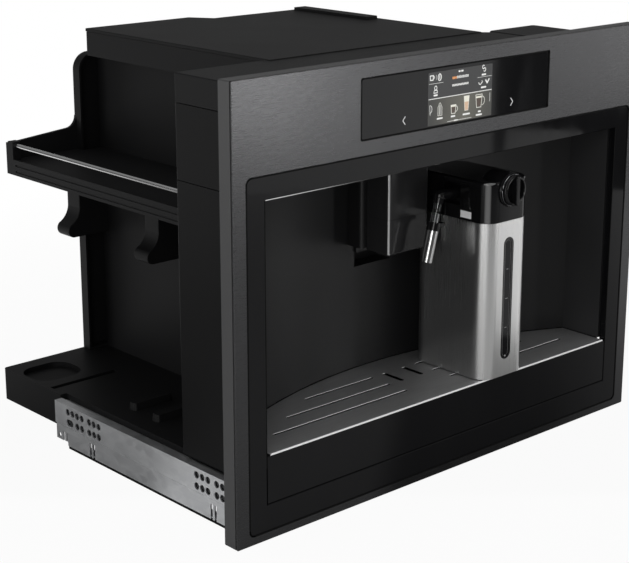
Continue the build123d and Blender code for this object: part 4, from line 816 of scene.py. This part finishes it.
class MACHINE_OT_build_knob(bpy.types.Operator):
    """Makes the froth knob: back flange, fluted drum, dished face, finger bar and shaft, and a painted
    highlight ring on the drum's rim
    """

    bl_idname = "coffee_machine.build_knob"
    bl_label = "Froth knob"

    def execute(self, context):
        knob = settings().knob
        middle_x, middle_z = (KNOB_LOW.x + KNOB_HIGH.x) / 2, (KNOB_LOW.z + KNOB_HIGH.z) / 2
        radius = (KNOB_HIGH.x - KNOB_LOW.x) / 2
        drum = radius * knob.drum_share
        front = KNOB_LOW.y
        # The lid's face has a sunk seat for the flange, which keeps a small gap behind it.
        seat_depth, gap_behind = 0.0020, 0.0003
        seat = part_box("jug_lid")[0].y + seat_depth - gap_behind
        bar_reach = 0.0030
        length = seat - (front + bar_reach)
        start, outward = (middle_x, seat, middle_z), (0, -1, 0)
        black = gloss_panel("knob_black", (0.003, 0.003, 0.0033), 0.08, 0.24)

        flange = bmesh.new()
        turned(flange, [(0, 0), (0, radius - 0.0006), (0.0006, radius), (knob.flange - 0.0008, radius),
                        (knob.flange, radius - 0.0008), (knob.flange, 0)], start, outward, 96)
        flange_piece = new_piece("knob_flange", "froth_knob", black, flange)

        body = bmesh.new()
        floor = length - 0.0052
        profile = [(knob.flange, 0), (knob.flange, drum), (length - 0.0022, drum),
                   (length - 0.0009, drum - 0.0006), (length - 0.0001, drum - 0.0019),
                   (length, drum - 0.0028), (length - 0.0010, drum - 0.0036),
                   (length - 0.0048, drum - 0.0042), (floor, drum - 0.0060), (floor, 0)]
        turned(body, profile, start, outward, knob.flutes * 8)
        flute_depth = 0.00022
        for vertex in body.verts:
            off = Vector((vertex.co.x - middle_x, 0, vertex.co.z - middle_z))
            if off.length > drum - 0.0008:
                angle = math.atan2(off.z, off.x)
                vertex.co -= off.normalized() * flute_depth * (1 - abs(math.sin(angle * knob.flutes / 2)))
        new_piece("knob_drum", "froth_knob", black, body, smooth_angle=50)

        bar = bmesh.new()
        half, reach = knob.grip_width / 2, drum - 0.0012
        outline = ellipse((middle_x, middle_z + reach - half), 2 * half, 2 * half, 10, 0, 180)
        outline += ellipse((middle_x, middle_z - reach + half), 2 * half, 2 * half, 10, 180, 180)
        prism(bar, outline, front, seat - floor)
        bar_piece = new_piece("knob_finger_bar", "froth_knob", black, bar)
        soften(bar_piece, 0.0007, 3)

        shaft = bmesh.new()
        shaft_length = KNOB_HIGH.y - seat
        turned(shaft, [(0, 0), (0, 0.0037), (0.0003, 0.0040), (shaft_length - 0.0006, 0.0040),
                       (shaft_length, 0.0034), (shaft_length, 0)], start, (0, 1, 0), 40)
        new_piece("knob_shaft", "froth_knob", black, shaft)
        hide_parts("froth_knob")

        # A bright metal ring round the drum's rim, a painted highlight for the highlight that the gloss rim
        # catches.
        ring = bmesh.new()
        ring_low = knob.flange + 0.0008
        ring_high = ring_low + 0.0012
        turned(ring, [(ring_low, drum - 0.0004), (ring_low, drum + 0.00025),
                      (ring_low + 0.0002, drum + 0.0004), (ring_high - 0.0002, drum + 0.0004),
                      (ring_high, drum + 0.00025), (ring_high, drum - 0.0004)], start, outward, 96)
        new_piece("knob_rim_highlight_ring", "froth_knob", polished("knob_rim_painted_highlight", (0.40, 0.40, 0.41), 0.10),
                  ring)
        return {"FINISHED"}


class MACHINE_OT_build_jug_details(bpy.types.Operator):
    """Adds the window's level marks, its inner line and its small screw"""

    bl_idname = "coffee_machine.build_jug_details"
    bl_label = "Jug details"

    def execute(self, context):
        middle = (BEZEL_LOW.x + BEZEL_HIGH.x) / 2
        low, high = WINDOW_LOW.z, WINDOW_HIGH.z
        face = WINDOW_LOW.y
        marks = bmesh.new()
        for share, width in ((0.25, 0.0030), (0.5, 0.0042), (0.75, 0.0030)):
            height = low + (high - low) * share
            prism(marks, rounded_rectangle((middle, height), width, 0.0006, 0.0002, 3), face - 0.00008, face)
        new_piece("window_level_marks", "milk_jug", painted("print_grey", (0.30, 0.30, 0.30), 0.5), marks)

        line = bmesh.new()
        inset = 0.0007
        half = (WINDOW_HIGH.x - WINDOW_LOW.x) / 2 - inset
        outline = ellipse((middle, high - half - inset), 2 * half, 2 * half, 16, 0, 180)
        outline += ellipse((middle, low + half + inset), 2 * half, 2 * half, 16, 180, 180)
        stroke(line, outline, 0.00035, face - PRINT_THICK, face, closed=True)
        new_piece("window_inner_line", "milk_jug", painted("line_grey", (0.16, 0.16, 0.16), 0.4), line)

        screw = bmesh.new()
        place = (middle, BEZEL_LOW.y + 0.0003, BEZEL_LOW.z + 0.0034)
        turned(screw, [(0, 0), (0, 0.0011), (0.0002, 0.0012), (0.00045, 0.0010), (0.00045, 0.0006),
                       (0.0002, 0.0004), (0.0002, 0)], place, (0, -1, 0), 24)
        new_piece("window_screw", "milk_jug", polished("small_screw_steel", (0.5, 0.5, 0.5), 0.25), screw)
        return {"FINISHED"}


class MACHINE_OT_build_grid_trim(bpy.types.Operator):
    """Adds painted highlights: a pale strip along the grid's front edge and pale strips on the far edges of
    its slots
    """

    bl_idname = "coffee_machine.build_grid_trim"
    bl_label = "Grid's bright edges"

    def execute(self, context):
        # A pale strip along the grid's front edge, a painted highlight.
        strip = bmesh.new()
        front, depth = GRID_LOW.y - 0.0003, 0.0012
        low, high = GRID_LOW.z + 0.0001, GRID_HIGH.z + 0.0003
        section = [(front + 0.0003, low), (front, low + 0.0003), (front, high - 0.0004),
                   (front + 0.0004, high), (front + depth, high), (front + depth, low)]
        ends = [[strip.verts.new((x, y, z)) for y, z in section]
                for x in (GRID_LOW.x + depth, GRID_HIGH.x - depth)]
        strip.faces.new(ends[0][::-1])
        strip.faces.new(ends[1])
        for i in range(len(section)):
            j = (i + 1) % len(section)
            strip.faces.new((ends[0][i], ends[0][j], ends[1][j], ends[1][i]))
        new_piece("grid_edge_strip", "drip_drawer", painted("grid_edge_painted_highlight", (0.95, 0.95, 0.95), 0.35),
                  strip)

        # Pale strips on the slots' far edges, painted highlights.
        edges = bmesh.new()
        niche_back = GRID_HIGH.y + 0.001
        skin = (GRID_HIGH.z - 0.0002, GRID_HIGH.z + 0.00005)
        slot_half, inner_end = 0.0015, 0.0345
        cross_x, cross_half = 0.015, 0.0022
        for side in (-1, 1):
            for behind, reach in SLOT_ROWS:
                far = niche_back - behind + slot_half
                ends = sorted((side * inner_end, side * (reach - slot_half)))
                flat_bar(edges, ends, (far - 0.0003, far + 0.0009), skin)
            far = niche_back - 0.051 + 0.015
            flat_bar(edges, (side * cross_x - cross_half, side * cross_x + cross_half),
                     (far - 0.0006, far + 0.0006), skin)
        new_piece("slot_bright_edges", "drip_drawer", painted("slot_edge_painted_highlight", (0.95, 0.95, 0.95), 0.4),
                  edges)
        return {"FINISHED"}


def flat_bar(shape, across, along, upward):
    """A bar between two X, two Y and two Z."""
    corners = [shape.verts.new((x, y, z)) for z in upward for x, y in
               ((across[0], along[0]), (across[1], along[0]), (across[1], along[1]), (across[0], along[1]))]
    for face in ((0, 3, 2, 1), (4, 5, 6, 7), (0, 1, 5, 4), (1, 2, 6, 5), (2, 3, 7, 6), (3, 0, 4, 7)):
        shape.faces.new([corners[i] for i in face])


class MACHINE_OT_build_fasteners(bpy.types.Operator):
    """Adds the rear panel's cover screws"""

    bl_idname = "coffee_machine.build_fasteners"
    bl_label = "Cover screws"

    def execute(self, context):
        steel = polished("cover_screw_black", (0.10, 0.10, 0.10), 0.35)
        inset, radius, thick = 0.012, 0.0036, 0.0006
        left, right = REAR_LOW.x + inset, REAR_HIGH.x - inset
        halfway = (REAR_LOW.z + REAR_HIGH.z) / 2
        # The upper left screw is lower, because the panel's corner is round there.
        places = [(left, REAR_HIGH.z - 0.030), (right, REAR_HIGH.z - inset), (left, REAR_LOW.z + inset),
                  (right, REAR_LOW.z + inset), (left, halfway), (right, halfway)]
        heads = bmesh.new()
        for x, z in places:
            turned(heads, [(0, 0), (0, radius), (thick * 0.4, radius), (thick, radius * 0.72), (thick, 0)],
                   (x, REAR_HIGH.y - 0.0001 - thick, z), (0, 1, 0), 28)
        new_piece("rear_panel_screws", "machine", steel, heads)
        return {"FINISHED"}


class MACHINE_OT_build_stage(bpy.types.Operator):
    """Sets the floor, the soft light, the background and the camera"""

    bl_idname = "coffee_machine.build_stage"
    bl_label = "Stage"

    def execute(self, context):
        stage = settings().stage
        disc = bmesh.new()
        rings = [stage.floor_radius * share for share in (0.1, 0.25, 0.4, 0.55, 0.7, 0.85, 1.0)]
        turned(disc, [(0, 0)] + [(0, radius) for radius in rings], (0, 0, CAD_LOW.z - 0.0003), (0, 0, 1), 96)
        bmesh.ops.recalc_face_normals(disc, faces=disc.faces)
        mesh = bpy.data.meshes.new("floor")
        disc.to_mesh(mesh)
        disc.free()
        floor = bpy.data.objects.new("floor", mesh)
        bpy.context.scene.collection.objects.link(floor)
        mesh.materials.append(floor_finish(stage.floor_radius))
        make_room()
        for name, place, aim, size, brightness in softboxes():
            add_softbox(name, place, aim, size, brightness)
        add_camera(stage)
        context.scene.view_settings.view_transform = "Standard"
        return {"FINISHED"}


# The way from the camera to the far side of the machine, level with the floor.
BEHIND = (0.67, 0.74)


def floor_finish(radius):
    """A pale floor that keeps the machine's shadow and fades into the white background."""
    finish = Finish("pale_floor", roughness=0.75, specular_ior_level=0.2)
    grain = finish.noise((40.0, 40.0, 40.0), 3.0)
    away = finish.node("ShaderNodeVectorMath", {"operation": "LENGTH"}, {0: finish.places}, "Value")
    beside = finish.steps(finish.place(0) * BEHIND[0] + finish.place(1) * BEHIND[1], -0.1, 0.35)
    # Painted shade: the floor is darker to the right of a line that runs from the machine's foot to the front
    # right, so that the glass and the drawer reflect it dark.
    past_line = (finish.place(0) - 0.081) * 0.663 + (finish.place(1) + 0.402) * 0.748
    painted_floor_shade = finish.steps(past_line, -0.01, 0.03) * (1 - beside)
    finish.feed("Base Color", finish.between(painted_floor_shade, finish.between(grain, 0.54, 0.57), 0.16))
    finish.feed("Roughness", 0.7 + grain * 0.1)
    fade = 0.95 + finish.steps(away, radius * 0.35, radius * 0.9) * 0.05
    mask = finish.seen_by("Camera") * fade + finish.seen_by("Glossy", "Transmission") * fade * beside
    white = finish.node("ShaderNodeEmission", {}, {"Color": shade(1.0), "Strength": 1.0})
    floor = Wire(finish, finish.shader.outputs[0])
    mixed = finish.node("ShaderNodeMixShader", {}, {0: mask, 1: floor, 2: white})
    finish.tree.links.new(mixed.socket, finish.tree.nodes["Material Output"].inputs["Surface"])
    return finish.material


def make_room():
    """White background behind the machine, a dim room on the camera's side, and soft light from all round."""
    world = bpy.data.worlds.new("studio")
    bpy.context.scene.world = world
    world.use_nodes = True
    room = Nodes(world.node_tree)
    direction = room.node("ShaderNodeTexCoord", {}, {}, "Generated")
    behind = room.part(direction, 0) * BEHIND[0] + room.part(direction, 1) * BEHIND[1]
    up = room.part(direction, 2)
    backdrop = room.steps(behind, 0.20, 0.55) * (1 - room.steps(up, -0.05, 0.22))
    ceiling = room.steps(up, 0.1, 0.8)
    shown = room.between(backdrop, room.between(ceiling, 0.07, 0.30), 1.0)
    fill = room.between(room.steps(up, -0.3, 0.9), 0.28, 0.50)
    soft = room.between(room.seen_by("Glossy", "Transmission"), fill, shown)
    colour = room.between(room.seen_by("Camera"), soft, 1.0)
    light = room.node("ShaderNodeBackground", {}, {"Color": colour, "Strength": 1.0})
    room.tree.links.new(light.socket, room.tree.nodes["World Output"].inputs["Surface"])


def softboxes():
    """The lamps: name, place, what they face, size and brightness, where 1 is white."""
    return [
        ("overhead_softbox", (-0.2, -0.3, 1.9), (0, 0, 0.2), (1.4, 1.2), 1.6),
        ("left_softbox", (-2.1, 0.9, 0.45), (-0.1, 0, 0.2), (1.3, 1.1), 2.2),
        ("front_left_softbox", (-2.2, -1.5, 1.3), (0, -0.1, 0.2), (0.9, 0.9), 3.0),
        ("camera_side_card", (-1.95, -2.05, 0.45), (0, -0.1, 0.2), (0.8, 1.3), 3.0),
        ("grey_card", (1.943, -2.390, 0.15), (0.0, -0.225, 0.3), (0.754, 1.9), 0.9),
        ("left_low_card", (-1.25, -0.66, 0.16), (0.05, -0.2, 0.2), (0.25, 0.30), 3.6),
        ("low_right_card", (0.750, -0.730, 0.06), (0.673, -0.666, 1.06), (0.14, 0.95), 0.9),
        ("front_strip", (0.98, -1.79, 0.42), (-0.2, -0.2, 0.43), (0.13, 0.80), 14.0),
        ("right_strip", (1.86, -1.42, 0.42), (0.25, -0.2, 0.43), (0.24, 0.80), 3.5),
    ]


def add_softbox(name, place, aim, size, brightness):
    """An even lamp with square corners that faces a point."""
    lamp = bpy.data.lights.new(name, "AREA")
    lamp.shape = "RECTANGLE"
    lamp.size, lamp.size_y = size
    lamp.energy = brightness * math.pi * size[0] * size[1]
    holder = bpy.data.objects.new(name, lamp)
    bpy.context.scene.collection.objects.link(holder)
    holder.location = place
    holder.rotation_euler = (Vector(aim) - Vector(place)).to_track_quat("-Z", "Y").to_euler()


def add_camera(stage):
    """The camera, where the photograph was taken from."""
    lens = bpy.data.cameras.new("camera")
    lens.lens = stage.lens
    lens.sensor_width = 36.0
    lens.shift_y = stage.shift
    lens.dof.use_dof = False
    lens.clip_start, lens.clip_end = 0.05, 60.0
    camera = bpy.data.objects.new("camera", lens)
    bpy.context.scene.collection.objects.link(camera)
    camera.location = stage.place
    camera.rotation_euler = (math.radians(90) - stage.pitch, 0, -stage.yaw)
    bpy.context.scene.camera = camera


class MACHINE_PT_looks(bpy.types.Panel):
    """Lists the steps that finish the machine"""

    bl_idname = "MACHINE_PT_looks"
    bl_label = "Coffee machine"
    bl_space_type = "VIEW_3D"
    bl_region_type = "UI"
    bl_category = "Coffee machine"

    def draw(self, context):
        for step in STEPS:
            self.layout.operator(step.bl_idname)


STEPS = (MACHINE_OT_finish_frame, MACHINE_OT_build_screen, MACHINE_OT_build_gap_shade, MACHINE_OT_build_knob,
         MACHINE_OT_build_jug_details, MACHINE_OT_build_grid_trim, MACHINE_OT_build_fasteners,
         MACHINE_OT_build_stage)
CLASSES = (ScreenSettings, KnobSettings, StageSettings, MachineSettings, *STEPS, MACHINE_PT_looks)


def register():
    for item in CLASSES:
        bpy.utils.register_class(item)
    bpy.types.Scene.coffee_machine = PointerProperty(type=MachineSettings)


def unregister():
    del bpy.types.Scene.coffee_machine
    for item in reversed(CLASSES):
        bpy.utils.unregister_class(item)


def main():
    register()
    for step in STEPS:
        group, name = step.bl_idname.split(".")
        getattr(getattr(bpy.ops, group), name)()


if __name__ == "__main__":
    main()
